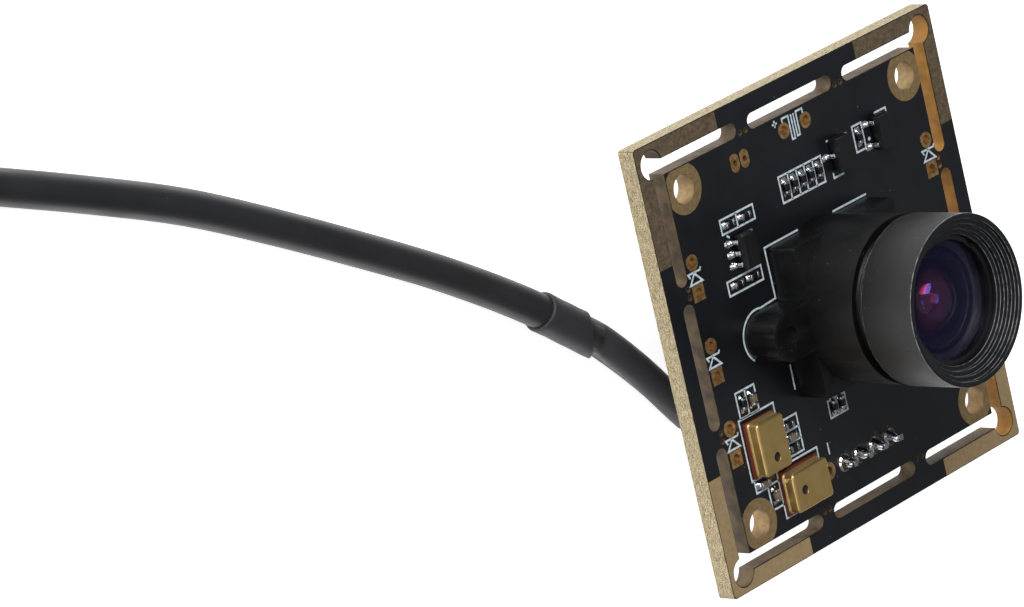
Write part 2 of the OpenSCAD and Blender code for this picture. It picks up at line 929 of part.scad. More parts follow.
module at_mics() {
    on_front()
        for (m = mics)
            translate([m[0], m[1], 0])
                rotate(m[2])
                    children();
}

module microphone_boards() {
    color([0.45, 0.16, 0.11])
        at_mics()
            linear_extrude(mic_board_t)
                square([mic_w, mic_l], center = true);
}

module microphone_cans() {
    w = mic_w - 2 * mic_margin;
    l = mic_l - 2 * mic_end;
    wall = 0.15;
    color([0.85, 0.68, 0.36])
        at_mics()
            translate([0, 0, mic_board_t])
                difference() {
                    union() {
                        drawn_box(w, l, mic_can_h, mic_can_r);
                        linear_extrude(mic_brim_t)
                            rounded(w + 2 * mic_brim, l + 2 * mic_brim, mic_can_r);
                    }
                    translate([0, 0, -E])
                        linear_extrude(mic_can_h - wall + E)
                            rounded(w - 2 * wall, l - 2 * wall, mic_can_r - wall);
                    translate([0, -mic_port_off, 0])
                        cylinder(d = mic_port_d, h = 2 * mic_can_h);
                }
}

// ================= connector, plug and wires =================

module solder_joints() {
    foot_r = row_pad_d / 2 - 0.02;
    top_r = pin_w * 0.8;
    h = pin_tail - 0.15;
    color([0.82, 0.82, 0.83])
        for (x = pin_x)
            translate([x, row_y, board_top + copper_t])
                difference() {
                    rotate_extrude()
                        polygon(concat([[0, 0]],
                            [for (a = [0:15:90])
                                [top_r + (foot_r - top_r) * (1 - sin(a)), h * (1 - cos(a))]],
                            [[0, h]]));
                    cube([pin_w, pin_w, 4 * h], center = true);
                }
}

module header_shroud() {
    inner_l = header_l - 2 * header_wall;
    inner_w = header_w - 2 * header_wall;
    color([0.88, 0.86, 0.80])
        translate([row_x, row_y, board_z])
            mirror([0, 0, 1])
                translate([0, 0, copper_t])
                    difference() {
                        linear_extrude(header_h - copper_t)
                            rounded(header_l, header_w, 0.2);
                        translate([0, 0, header_base])
                            linear_extrude(header_h)
                                square([inner_l, inner_w], center = true);
                        for (x = [-1, 1])
                            translate([x * rib_x - rib_w / 2 - plug_play, 0, header_base])
                                cube([rib_w + 2 * plug_play, header_w, header_h]);
                        for (x = pin_x)
                            translate([x - row_x, 0, 0])
                                cube([pin_w, pin_w, 4 * header_base], center = true);
                    }
}

module header_pins() {
    color([0.85, 0.80, 0.62])
        for (x = pin_x)
            translate([x - pin_w / 2, row_y - pin_w / 2, board_z - header_base - pin_engage])
                cube([pin_w, pin_w, header_base + pin_engage + board_t + pin_tail]);
}

module plug_housing() {
    l = header_l - 2 * header_wall - 2 * plug_play;
    w = header_w - 2 * header_wall - 2 * plug_play;
    color([0.90, 0.88, 0.83])
        difference() {
            translate([row_x, row_y, wire_room])
                linear_extrude(plug_top - wire_room) {
                    square([l, w], center = true);
                    for (x = [-1, 1])
                        translate([x * rib_x - rib_w / 2, 0])
                            square([rib_w, w / 2 + rib_h]);
                }
            for (x = pin_x) {
                translate([x - crimp_w / 2, row_y - crimp_d / 2, wire_room - 1])
                    cube([crimp_w, crimp_d, crimp_top - wire_room + 1]);
                translate([x, row_y, plug_top])
                    cube([pin_w + 0.3, pin_w + 0.3, 4], center = true);
            }
        }
}

module crimp_contacts() {
    bore = pin_w + 0.1;
    color([0.82, 0.74, 0.50])
        for (x = pin_x)
            translate([x, row_y, crimp_top - crimp_l])
                difference() {
                    translate([-crimp_w / 2, -crimp_d / 2, 0])
                        cube([crimp_w, crimp_d, crimp_l]);
                    translate([-bore / 2, -bore / 2, crimp_l - pin_engage])
                        cube([bore, bore, crimp_l]);
                }
}

// One wire: down out of its contact, round the bend and along to the wrap, where
// the four lie two by two.
module wire(i, across, up) {
    along = unit(wrap_route[len(wrap_route) - 1] - wrap_end);
    apart = (wire_d + wire_gap) / 2;
    b = wrap_end + across * apart * [-along.y, along.x];
    c = b - wire_lead * along;
    z = wire_d / 2 + (1 + up) * apart;
    end_z = cable_z + up * apart;
    top = [pin_x[i], row_y, crimp_top - crimp_l];
    end = [b.x, b.y, end_z];
    path = spline([top, top, [top.x, row_y, z], [top.x, row_y + 2, z], [c.x, c.y, end_z],
                   end, end], 4);
    swept(path, [1, 0, 0], wire_d / 2, wire_d / 2);
}

module wire_red() {
    color([0.70, 0.08, 0.07])
        wire(0, 1, 1);
}

module wire_white() {
    color([0.88, 0.88, 0.86])
        wire(1, 1, -1);
}

module wire_green() {
    color([0.10, 0.45, 0.16])
        wire(2, -1, 1);
}

module wire_black() {
    color([0.06, 0.06, 0.06])
        wire(3, -1, -1);
}

// ================= chips behind the board =================

module control_chip() {
    color([0.10, 0.10, 0.11])
        on_back()
            translate([control_at.x, control_at.y, 0.02])
                linear_extrude(control_h - 0.02)
                    difference() {
                        rounded(control_w, control_w, 0.15);
                        for (a = [0:90:270], k = [0:control_pads - 1])
                            rotate(a)
                                translate([(k - (control_pads - 1) / 2) * 0.5, control_w / 2])
                                    square([control_pad_w, 0.1], center = true);
                    }
}

module control_chip_pads() {
    color([0.80, 0.78, 0.72])
        on_back()
            translate([control_at.x, control_at.y, 0])
                for (a = [0:90:270], k = [0:control_pads - 1])
                    rotate(a)
                        translate([(k - (control_pads - 1) / 2) * 0.5, control_w / 2 + 0.1, 0.1])
                            cube([control_pad_w, 0.3, 0.2], center = true);
}

module memory_chip() {
    color([0.10, 0.10, 0.11])
        on_back()
            translate([flash_at.x, flash_at.y, 0.12])
                chip_body(flash_w, flash_l, flash_h);
}

module memory_chip_leads() {
    reach = (flash_span - flash_w) / 2;
    color([0.80, 0.80, 0.80])
        on_back()
            translate([flash_at.x, flash_at.y, 0])
                for (m = [0, 1], k = [-1.5:1:1.5])
                    mirror([m, 0, 0])
                        translate([flash_w / 2, k * flash_pitch, 0])
                            gull_lead(reach, 0.12 + flash_h / 2 + 0.1, 0.41, 0.2);
}

module crystal() {
    color([0.76, 0.76, 0.74])
        on_back()
            translate([crystal_at.x, crystal_at.y, 0])
                drawn_box(crystal_l, crystal_w, crystal_h, 0.15);
}

module power_inductor() {
    color([0.24, 0.23, 0.22])
        on_back()
            translate([coil_at.x, coil_at.y, 0])
                difference() {
                    linear_extrude(inductor_h)
                        rounded(inductor_w, inductor_w, 0.5);
                    translate([0, 0, inductor_h - 0.2])
                        cylinder(d = inductor_w * 0.6, h = 1);
                }
}

// ================= cable =================

function flat(p, z) = [p.x, p.y, z];
function around(angle, r) = coil_c + r * [cos(angle), sin(angle)];
along_sleeve = unit(sleeve_b - sleeve_a);
sleeve_angle = atan2(along_sleeve.y, along_sleeve.x);

module wire_wrap() {
    color([0.13, 0.13, 0.14])
        swept(spline(concat([flat(jacket_end, sleeve_z), flat(jacket_end, sleeve_z),
                             flat(sleeve_b, sleeve_z)],
                            [for (p = wrap_route) flat(p, cable_z)],
                            [flat(wrap_end, cable_z), flat(wrap_end, cable_z)]), 2),
              [0, 0, 1], wrap_high, wrap_wide, turn = 75, sides = 12);
}

module cable_sleeve() {
    inner = cable_d / 2 + sleeve_play;
    color([0.15, 0.15, 0.16])
        translate(flat(sleeve_a, sleeve_z))
            rotate([0, 90, sleeve_angle])
                ring(inner + sleeve_wall, inner, norm(sleeve_b - sleeve_a));
}

module coil_envelope() {
    translate([coil_c.x, coil_c.y, 0])
        rotate_extrude($fn = 96)
            translate([coil_mid_d / 2, coil_high / 2])
                rounded(coil_wide, coil_high, cable_d / 2);
}

module strap_section(grow) {
    translate([coil_c.x, coil_c.y, 0])
        rotate(tie_angle)
            translate([coil_mid_d / 2, 0, coil_high / 2])
                rotate([90, 0, 0])
                    linear_extrude(tie_w, center = true)
                        rounded(coil_wide + 2 * grow, coil_high + 2 * grow, cable_d / 2 + grow);
}

module cable_jacket() {
    mouth = around(coil_in_angle, coil_turn_r - coil_tuck);
    path = concat([flat(jacket_end, sleeve_z), flat((jacket_end + sleeve_a) / 2, sleeve_z),
                   flat(sleeve_a, sleeve_z)],
                  [for (p = route) flat(p, cable_z)], [flat(mouth, cable_z + coil_tuck)]);
    color([0.14, 0.14, 0.15])
        difference() {
            swept(path, [0, 0, 1], cable_d / 2, cable_d / 2);
            coil_envelope();
        }
}

module cable_tail() {
    a = around(coil_out_angle, coil_turn_r - coil_tuck);
    b = around(coil_out_angle, coil_turn_r);
    way = [sin(coil_out_angle), -cos(coil_out_angle)];
    high = coil_high - cable_z - coil_tuck;
    path = spline([flat(a, high), flat(a, high), flat(a - 0.35 * tail_l * way, high),
                   flat(b - 0.7 * tail_l * way, plug_z), flat(b - tail_l * way, plug_z),
                   flat(b - tail_l * way, plug_z)], 2);
    color([0.14, 0.14, 0.15])
        difference() {
            swept(path, [1, 0, 0], cable_d / 2, cable_d / 2);
            coil_envelope();
        }
}

module cable_coil() {
    color([0.14, 0.14, 0.15])
        difference() {
            coil_envelope();
            difference() {
                strap_section(1);
                strap_section(-tie_t);
            }
        }
}

module coil_strap() {
    color([0.10, 0.10, 0.10])
        difference() {
            strap_section(0);
            strap_section(-tie_t);
        }
}

// ================= USB plug: built along +Y from the strain relief's end =================

module at_usb() {
    a = around(coil_out_angle, coil_turn_r);
    way = [sin(coil_out_angle), -cos(coil_out_angle)];
    p = a - tail_l * way;
    translate([p.x, p.y, plug_z])
        rotate(coil_out_angle)
            children();
}

module usb_grip() {
    rib = relief_l / relief_ribs;
    color([0.10, 0.10, 0.11])
        at_usb() {
            rotate([-90, 0, 0])
                rotate_extrude()
                    union() {
                        polygon([[0, 0], [relief_d1 / 2, 0], [relief_d2 / 2, relief_l],
                                 [0, relief_l]]);
                        for (i = [0:relief_ribs - 1])
                            translate([0, i * rib])
                                square([relief_d1 / 2 + 0.35
                                        + (relief_d2 - relief_d1) / 2 * (i + 0.5) / relief_ribs,
                                        rib * 0.6]);
                    }
            translate([0, relief_l + grip_l / 2, 0])
                rotate([90, 0, 0])
                    linear_extrude(grip_l, center = true)
                        rounded(grip_w, grip_t, grip_r);
        }
}

module usb_shell() {
    color([0.78, 0.78, 0.80])
        at_usb()
            translate([0, relief_l + grip_l, 0])
                difference() {
                    translate([-shell_w / 2, 0, -shell_h / 2])
                        cube([shell_w, shell_l, shell_h]);
                    translate([-shell_w / 2 + shell_t, -1, -shell_h / 2 + shell_t])
                        cube([shell_w - 2 * shell_t, shell_l + 2, shell_h - 2 * shell_t]);
                    for (x = [-1, 1])
                        translate([x * window_off, window_y, 0])
                            cube([window_w, window_w, 2 * shell_h], center = true);
                }
}

module usb_tongue() {
    w = shell_w - 2 * shell_t;
    color([0.92, 0.92, 0.90])
        at_usb()
            translate([-w / 2, relief_l + grip_l, -shell_h / 2 + shell_t])
                cube([w, shell_l - 0.4, tongue_h]);
}

module usb_contacts() {
    color([0.86, 0.72, 0.36])
        at_usb()
            for (x = [-3.5, -1, 1, 3.5])
                translate([x - contact_w / 2, relief_l + grip_l,
                           -shell_h / 2 + shell_t + tongue_h])
                    cube([contact_w, shell_l - 1.6, contact_t]);
}

// ================= assembly =================

circuit_board();
corner_pads();
mount_hole_rings();
light_pads();
header_pads();
image_sensor();
sensor_glass();
lens_holder();
holder_screws();
infrared_filter();
lens_barrel();
front_retaining_ring();
front_element();
second_element();
front_spacer();
aperture_stop();
crown_element();
flint_element();
rear_spacer();
rear_element();
resistor_bodies();
capacitor_bodies();
chip_end_caps();
small_chip_bodies();
small_chip_leads();
microphone_boards();
microphone_cans();
solder_joints();
header_shroud();
header_pins();
plug_housing();
crimp_contacts();
wire_red();
wire_white();
wire_green();
wire_black();
control_chip();
control_chip_pads();
memory_chip();
memory_chip_leads();
crystal();
power_inductor();
wire_wrap();
cable_sleeve();
cable_jacket();
cable_tail();
cable_coil();
coil_strap();
usb_grip();
usb_shell();
usb_tongue();
usb_contacts();
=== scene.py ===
import math

import bpy
import numpy as np
from mathutils import Matrix


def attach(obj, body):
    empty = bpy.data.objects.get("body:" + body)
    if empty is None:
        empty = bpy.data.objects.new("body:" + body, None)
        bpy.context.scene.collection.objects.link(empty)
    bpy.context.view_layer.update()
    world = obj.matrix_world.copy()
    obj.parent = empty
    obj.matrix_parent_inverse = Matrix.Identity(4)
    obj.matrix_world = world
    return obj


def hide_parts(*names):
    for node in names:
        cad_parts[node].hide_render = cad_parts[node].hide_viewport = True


MM = 0.001

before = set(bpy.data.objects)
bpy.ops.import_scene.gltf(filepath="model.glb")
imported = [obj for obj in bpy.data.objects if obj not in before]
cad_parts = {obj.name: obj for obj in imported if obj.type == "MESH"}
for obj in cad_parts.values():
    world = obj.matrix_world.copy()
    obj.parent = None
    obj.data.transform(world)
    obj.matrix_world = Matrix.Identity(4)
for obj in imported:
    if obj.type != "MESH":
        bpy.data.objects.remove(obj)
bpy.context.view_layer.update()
rng = np.random.default_rng(7)

# ---- heights and sizes of the part, in millimetres ----
BOARD_TOP = 12.0
CABLE_R = 1.45
SLEEVE_Z = 1.7
ROW_Y = -13.3
PIN_X = [-2.9, -0.9, 1.1, 3.1]


# =====================================================================
# camera
# =====================================================================

def make_camera():
    data = bpy.data.cameras.new("camera")
    data.sensor_fit = "HORIZONTAL"
    data.sensor_width = 36.0
    data.lens = 227.74
    data.clip_start, data.clip_end = 0.05, 20.0
    cam = bpy.data.objects.new("camera", data)
    bpy.context.collection.objects.link(cam)
    right = np.array([0.65413, -0.22124, 0.72331])
    back = -np.array([0.67630, -0.25718, -0.69028])
    right /= np.linalg.norm(right)
    up = np.cross(back, right)
    up /= np.linalg.norm(up)
    back = np.cross(right, up)
    at = np.array([-373.6, 140.8, 356.9]) * MM
    cam.matrix_world = Matrix([[right[i], up[i], back[i], at[i]] for i in range(3)] + [[0, 0, 0, 1]])
    bpy.context.scene.camera = cam


make_camera()


# =====================================================================
# materials
# =====================================================================

def lin(code):
    """Linear colour of an sRGB hex code."""
    parts = [int(code[i:i + 2], 16) / 255 for i in (1, 3, 5)]
    return tuple(c / 12.92 if c <= 0.04045 else ((c + 0.055) / 1.055) ** 2.4 for c in parts) + (1.0,)


def add(tree, kind, sets=None, links=None):
    """Adds a node. sets gives its own settings and input values, links its inputs' sources."""
    n = tree.nodes.new("ShaderNode" + kind)
    for key, value in (sets or {}).items():
        if isinstance(key, str) and hasattr(n, key) and key not in n.inputs:
            setattr(n, key, value)
        else:
            n.inputs[key].default_value = value
    for key, source in (links or {}).items():
        tree.links.new(source, n.inputs[key])
    return n


def blank(name):
    mat = bpy.data.materials.new(name)
    mat.use_nodes = True
    tree = mat.node_tree
    for n in list(tree.nodes):
        if n.type != "BSDF_PRINCIPLED" and n.type != "OUTPUT_MATERIAL":
            tree.nodes.remove(n)
    return mat, tree, tree.nodes["Principled BSDF"]


def noise(tree, where, size_mm, detail=3.0, rough=0.5):
    return add(tree, "TexNoise", {"Scale": 1 / (size_mm * MM), "Detail": detail, "Roughness": rough},
               {"Vector": where}).outputs["Fac"]


def ramp(tree, source, low, high, out_low=0.0, out_high=1.0):
    return add(tree, "MapRange", {"From Min": low, "From Max": high, "To Min": out_low, "To Max": out_high},
               {"Value": source}).outputs["Result"]


def mix(tree, fac, a, b):
    n = add(tree, "Mix", {"data_type": "RGBA"})
    for key, value in (("Factor", fac), ("A", a), ("B", b)):
        sockets = [s for s in n.inputs if s.name == key and s.enabled]
        if isinstance(value, (int, float, tuple)):
            sockets[0].default_value = value
        else:
            tree.links.new(value, sockets[0])
    return [s for s in n.outputs if s.enabled][0]


def surface(name, code, rough, metal=0.0, grain_mm=0.0, grain=0.0, tone=0.0, tone_mm=1.0, tone_to=None,
            rough_vary=0.0, specks=0.0, speck_mm=0.9, speck_code="#b8bcc0", sheen=0.0, specular=None):
    """A plain material with optional tone, roughness, grain and dust, all in millimetres on the piece."""
    mat, tree, bsdf = blank(name)
    where = add(tree, "TexCoord").outputs["Object"]
    colour = lin(code)
    bsdf.inputs["Base Color"].default_value = colour
    bsdf.inputs["Roughness"].default_value = rough
    bsdf.inputs["Metallic"].default_value = metal
    if specular is not None:
        bsdf.inputs["Specular IOR Level"].default_value = specular
    if sheen:
        bsdf.inputs["Sheen Weight"].default_value = sheen
    source = colour
    if tone:
        other = lin(tone_to) if tone_to else tuple(min(1, c * (1 + tone)) for c in colour[:3]) + (1,)
        fac = ramp(tree, noise(tree, where, tone_mm, 4), 0.35, 0.65)
        source = mix(tree, fac, colour, other)
        tree.links.new(source, bsdf.inputs["Base Color"])
    if specks:
        cells = add(tree, "TexVoronoi", {"Scale": 1 / (speck_mm * MM), "Randomness": 1.0}, {"Vector": where})
        near = ramp(tree, cells.outputs["Distance"], 0.045, 0.065, 1.0, 0.0)
        some = ramp(tree, add(tree, "SeparateColor", {}, {"Color": cells.outputs["Color"]}).outputs[0],
                    1 - specks, 1 - specks + 0.02)
        fac = add(tree, "Math", {"operation": "MULTIPLY"}, {0: near, 1: some}).outputs[0]
        tree.links.new(mix(tree, fac, source, lin(speck_code)), bsdf.inputs["Base Color"])
    if rough_vary:
        fac = noise(tree, where, tone_mm * 0.6, 3)
        varied = ramp(tree, fac, 0.3, 0.7, rough - rough_vary, rough + rough_vary)
        tree.links.new(varied, bsdf.inputs["Roughness"])
    if grain:
        height = noise(tree, where, grain_mm, 2)
        bump = add(tree, "Bump", {"Strength": 1.0, "Distance": grain * MM}, {"Height": height})
        tree.links.new(bump.outputs["Normal"], bsdf.inputs["Normal"])
    return mat


def board_laminate():
    """Black solder mask on the two faces, sawn glass-fibre laminate on every edge and slot wall, with painted
    shade and painted light on the slot walls.
    """
    mat, tree, bsdf = blank("black_mask_on_fr4")
    where = add(tree, "TexCoord").outputs["Object"]
    facing = add(tree, "SeparateXYZ", {}, {0: add(tree, "NewGeometry").outputs["True Normal"]}).outputs["Z"]
    flat = ramp(tree, add(tree, "Math", {"operation": "ABSOLUTE"}, {0: facing}).outputs[0], 0.4, 0.6)
    place = add(tree, "SeparateXYZ", {}, {0: where})
    # the sawn edge shows tan resin with pale ends of fibre bundles
    drawn = add(tree, "Mapping", {"Scale": (0.22, 0.22, 2.0)}, {"Vector": where}).outputs[0]
    fibres = noise(tree, drawn, 0.12, 5, 0.8)
    grit = noise(tree, where, 0.09, 2)
    edge = mix(tree, ramp(tree, fibres, 0.42, 0.56), lin("#5f4d2c"), lin("#b5a680"))
    edge = mix(tree, ramp(tree, grit, 0.58, 0.68, 0.0, 0.8), edge, lin("#e6dcc2"))
    edge = mix(tree, ramp(tree, grit, 0.42, 0.32, 0.0, 0.7), edge, lin("#4a3b20"))
    # slot walls: painted shade, darker brown than the outer edge and mottled at random; light coming through
    # the narrow strip at +X is painted onto them as warm orange
    far = add(tree, "Math", {"operation": "MAXIMUM"},
              {0: add(tree, "Math", {"operation": "ABSOLUTE"}, {0: place.outputs["X"]}).outputs[0],
               1: add(tree, "Math", {"operation": "ABSOLUTE"}, {0: place.outputs["Y"]}).outputs[0]}).outputs[0]
    wall_mottle = ramp(tree, noise(tree, where, 1.2, 3), 0.35, 0.65)
    wall = mix(tree, wall_mottle, lin("#4a3d2c"), lin("#6d5b42"))
    painted_glow_at_plus_x = mix(tree, wall_mottle, lin("#8d611f"), lin("#a87a34"))
    # painted light: warm orange on the slot walls at +X
    wall = mix(tree, ramp(tree, place.outputs["X"], 15.5 * MM, 16.5 * MM), wall, painted_glow_at_plus_x)
    edge = mix(tree, ramp(tree, far, 18.90 * MM, 18.95 * MM), wall, edge)
    # mask: near black, with faint cloudiness over the copper below and fine dust
    cloud = noise(tree, where, 3.0, 3)
    mask = mix(tree, ramp(tree, cloud, 0.35, 0.7), lin("#0b0c0f"), lin("#121318"))
    cells = add(tree, "TexVoronoi", {"Scale": 1 / (0.8 * MM), "Randomness": 1.0}, {"Vector": where})
    near = ramp(tree, cells.outputs["Distance"], 0.05, 0.08, 1.0, 0.0)
    some = ramp(tree, add(tree, "SeparateColor", {}, {"Color": cells.outputs["Color"]}).outputs[0], 0.84, 0.86)
    dust = add(tree, "Math", {"operation": "MULTIPLY"}, {0: near, 1: some}).outputs[0]
    mask = mix(tree, dust, mask, lin("#6d7178"))
    tree.links.new(mix(tree, flat, edge, mask), bsdf.inputs["Base Color"])
    tree.links.new(ramp(tree, flat, 0, 1, 0.62, 0.33), bsdf.inputs["Roughness"])
    height = noise(tree, where, 0.55, 4)
    bump = add(tree, "Bump", {"Strength": 0.6, "Distance": 0.008 * MM}, {"Height": height})
    tree.links.new(bump.outputs["Normal"], bsdf.inputs["Normal"])
    return mat


def frame_pad_gold():
    """Thin immersion gold: pale at -Y, dimming to brown-grey towards +Y as a painted change of reflected light,
    and rougher there.
    """
    mat, tree, bsdf = blank("immersion_gold_painted_reflection")
    where = add(tree, "TexCoord").outputs["Object"]
    y = add(tree, "SeparateXYZ", {}, {0: where}).outputs["Y"]
    # painted reflection: the gold goes from pale to brown-grey towards +Y
    painted_reflection_fade = ramp(tree, y, -4 * MM, 9 * MM)
    mottle = ramp(tree, noise(tree, where, 0.35, 4, 0.7), 0.35, 0.65)
    pale = mix(tree, mottle, lin("#b59a70"), lin("#c4aa80"))
    dull = mix(tree, mottle, lin("#5d5040"), lin("#83725a"))
    tree.links.new(mix(tree, painted_reflection_fade, pale, dull), bsdf.inputs["Base Color"])
    bsdf.inputs["Metallic"].default_value = 0.6
    tree.links.new(ramp(tree, painted_reflection_fade, 0, 1, 0.42, 0.55), bsdf.inputs["Roughness"])
    bump = add(tree, "Bump", {"Strength": 0.6, "Distance": 0.006 * MM}, {"Height": noise(tree, where, 0.12, 3)})
    tree.links.new(bump.outputs["Normal"], bsdf.inputs["Normal"])
    return mat


def glass(name, code, ior=1.6, tint=None):
    """Polished optical glass; tint is the colour that its coating still reflects."""
    mat, tree, bsdf = blank(name)
    bsdf.inputs["Base Color"].default_value = lin(code)
    bsdf.inputs["Transmission Weight"].default_value = 1.0
    bsdf.inputs["IOR"].default_value = ior
    bsdf.inputs["Roughness"].default_value = 0.0
    if tint:
        bsdf.inputs["Specular Tint"].default_value = lin(tint)
    return mat


def paint(obj, mat):
    """Gives one material to every face of a piece."""
    if len(obj.material_slots) == 0:
        obj.data.materials.append(mat)
    for s in obj.material_slots:
        s.material = mat
    return obj


# =====================================================================
# making pieces
# =====================================================================

def piece(name, verts, faces, mat, slot, body="module", smooth=True, replaces=()):
    me = bpy.data.meshes.new(name)
    me.from_pydata((np.asarray(verts, float) * MM).tolist(), [], [tuple(int(i) for i in f) for f in faces])
    me.validate()
    me.update()
    me.polygons.foreach_set("use_smooth", [smooth] * len(me.polygons))
    obj = bpy.data.objects.new(name, me)
    bpy.context.collection.objects.link(obj)
    me.materials.append(mat)
    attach(obj, body)
    if replaces:
        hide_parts(*replaces)
    return obj


def loops(rows, caps=(False, False)):
    """Joins equal loops of points with quads. rows has the shape (loops, points, 3)."""
    rows = np.asarray(rows, float)
    n, m = rows.shape[:2]
    i, j = np.meshgrid(np.arange(n - 1), np.arange(m), indexing="ij")
    a = (i * m + j).ravel()
    b = (i * m + (j + 1) % m).ravel()
    c = ((i + 1) * m + (j + 1) % m).ravel()
    d = ((i + 1) * m + j).ravel()
    faces = np.stack([a, b, c, d], 1).tolist()
    if caps[0]:
        faces.append(list(range(m))[::-1])
    if caps[1]:
        faces.append([(n - 1) * m + k for k in range(m)])
    return rows.reshape(-1, 3), faces


def join(parts):
    """One list of vertices and faces from several."""
    verts, faces, base = [], [], 0
    for v, f in parts:
        verts.append(np.asarray(v, float))
        faces += [[i + base for i in face] for face in f]
        base += len(v)
    return np.concatenate(verts), faces


def turned(profile, sides=128, cx=0.0, cy=0.0):
    """A turned shape from (radius, height) pairs."""
    a = np.arange(sides) * 2 * np.pi / sides
    p = np.asarray(profile, float)
    rows = np.stack([cx + p[:, :1] * np.cos(a), cy + p[:, :1] * np.sin(a),
                     np.repeat(p[:, 1:], sides, 1)], 2)
    return loops(rows)


def fillet(points, radius, steps=4):
    """Rounds the inner corners of an open profile."""
    pts = [np.array(p, float) for p in points]
    out = [pts[0]]
    for k in range(1, len(pts) - 1):
        p, a, b = pts[k], pts[k - 1] - pts[k], pts[k + 1] - pts[k]
        la, lb = np.linalg.norm(a), np.linalg.norm(b)
        r = min(radius, 0.45 * la, 0.45 * lb)
        p0, p1 = p + a / la * r, p + b / lb * r
        for t in np.linspace(0, 1, steps):
            out.append((1 - t) ** 2 * p0 + 2 * t * (1 - t) * p + t ** 2 * p1)
    out.append(pts[-1])
    return np.array(out)


def smooth_line(points, step):
    """A Catmull-Rom curve through the points, with points about a step apart."""
    p = np.asarray(points, float)
    p = np.concatenate([2 * p[:1] - p[1:2], p, 2 * p[-1:] - p[-2:-1]])
    out = []
    for i in range(1, len(p) - 2):
        n = max(1, int(round(np.linalg.norm(p[i + 1] - p[i]) / step)))
        for t in np.arange(n) / n:
            out.append(0.5 * (2 * p[i] + (p[i + 1] - p[i - 1]) * t
                              + (2 * p[i - 1] - 5 * p[i] + 4 * p[i + 1] - p[i + 2]) * t * t
                              + (3 * p[i] - 3 * p[i + 1] + p[i + 2] - p[i - 1]) * t ** 3))
    out.append(p[-2])
    return np.array(out)


def spline(c, steps):
    """The same quadratic spline that the part's own sweeps use."""
    c = np.asarray(c, float)
    out = []
    for i in range(len(c) - 2):
        for k in range(steps):
            t = k / steps
            out.append((1 - t) ** 2 / 2 * c[i] + (0.5 + t * (1 - t)) * c[i + 1] + t * t / 2 * c[i + 2])
    out.append((c[-2] + c[-1]) / 2)
    return np.array(out)


def sides_of(path, start):
    """Two directions across a path at each point, carried along it without twist."""
    t = np.gradient(path, axis=0)
    t /= np.linalg.norm(t, axis=1, keepdims=True)
    n = np.array(start, float)
    normals = []
    for k in range(len(path)):
        n = n - np.dot(n, t[k]) * t[k]
        n /= np.linalg.norm(n)
        normals.append(n)
    normals = np.array(normals)
    return normals, np.cross(t, normals)


def sweep(path, radius, start=(0, 0, 1), sides=16):
    """A round tube along a path, closed at both ends."""
    path = np.asarray(path, float)
    n, b = sides_of(path, start)
    a = np.arange(sides) * 2 * np.pi / sides
    rows = path[:, None] + radius * (np.cos(a)[:, None] * n[:, None] + np.sin(a)[:, None] * b[:, None])
    return loops(rows, caps=(True, True))


# =====================================================================
# cable: core wrap, jacket, coil, tail
# =====================================================================

JACKET_END = (-17.7, 2.74)
SLEEVE_A = (-22.8, 6.8)
SLEEVE_B = (-16.9, 2.1)
WRAP_BENDS = [(-13.4, -1.5), (-10.7, -4.9)]
WRAP_END = (-8.6, -7.6)
WRAP_HIGH, WRAP_WIDE, WRAP_TURN = 1.08, 1.43, 75
SLEEVE_SLANT = 3.0                                   # how much shorter the sleeve is on its upper side
ROUTE = [(-26.4, 9.5), (-32.6, 13.6), (-39.4, 17.7), (-48.2, 22.8), (-56.7, 27.4),
         (-65.3, 31.3), (-73.8, 34.9), (-82.8, 38.6), (-89.9, 41.5)]
COIL_AT = np.array([-105.0, 27.2])
TURN_R = [18.9, 16.0, 13.1]
LAYER_Z = [1.45, 4.35, 7.25]
COIL_IN, COIL_OUT = 67.6, 180.0
TAIL = 13.0
PLUG_Z = 4.2


def coil_path():
    """Eight and a third turns. Each turn fills one cell of a three by three section."""
    cells = [(0, 0), (1, 0), (2, 0), (2, 1), (2, 2), (1, 1), (1, 2), (0, 1), (0, 2)]
    window, slot_w = COIL_IN + 175.0, 30.0
    slots = [5, 5, 4, 4, 3, 2, 1, 0]                 # when in the window each change of cell happens
    moves, passed = [], COIL_IN
    for s in slots:
        at = window + s * slot_w
        while at < passed:
            at += 360
        moves.append(at)
        passed = at + slot_w
    end = COIL_OUT + 360 * math.ceil((passed - COIL_OUT) / 360)
    angles = np.linspace(COIL_IN, end, int((end - COIL_IN) / 8))
    radius = np.full(len(angles), TURN_R[cells[0][0]])
    height = np.full(len(angles), LAYER_Z[cells[0][1]])
    for (c0, l0), (c1, l1), at in zip(cells, cells[1:], moves):
        t = np.clip((angles - at) / slot_w, 0, 1)
        t = t * t * (3 - 2 * t)
        radius += t * (TURN_R[c1] - TURN_R[c0])
        height += t * (LAYER_Z[l1] - LAYER_Z[l0])
    a = np.radians(angles)
    return np.stack([COIL_AT[0] + radius * np.cos(a), COIL_AT[1] + radius * np.sin(a), height], 1)


def cable_path():
    middle = [(a + b) / 2 for a, b in zip(JACKET_END, SLEEVE_A)]
    lead = [(*JACKET_END, SLEEVE_Z), (*middle, SLEEVE_Z), (*SLEEVE_A, SLEEVE_Z)]
    coil = coil_path()
    run = smooth_line(lead + [(x, y, CABLE_R) for x, y in ROUTE] + [tuple(coil[0])], 2.0)
    x, y, z = coil[-1]
    tail = spline([(x, y, z), (x, y, z), (x, y - 0.35 * TAIL, z), (x, y - 0.7 * TAIL, PLUG_Z),
                   (x, y - TAIL, PLUG_Z), (x, y - TAIL, PLUG_Z)], 3)
    return np.concatenate([run, coil[1:], tail[1:]])


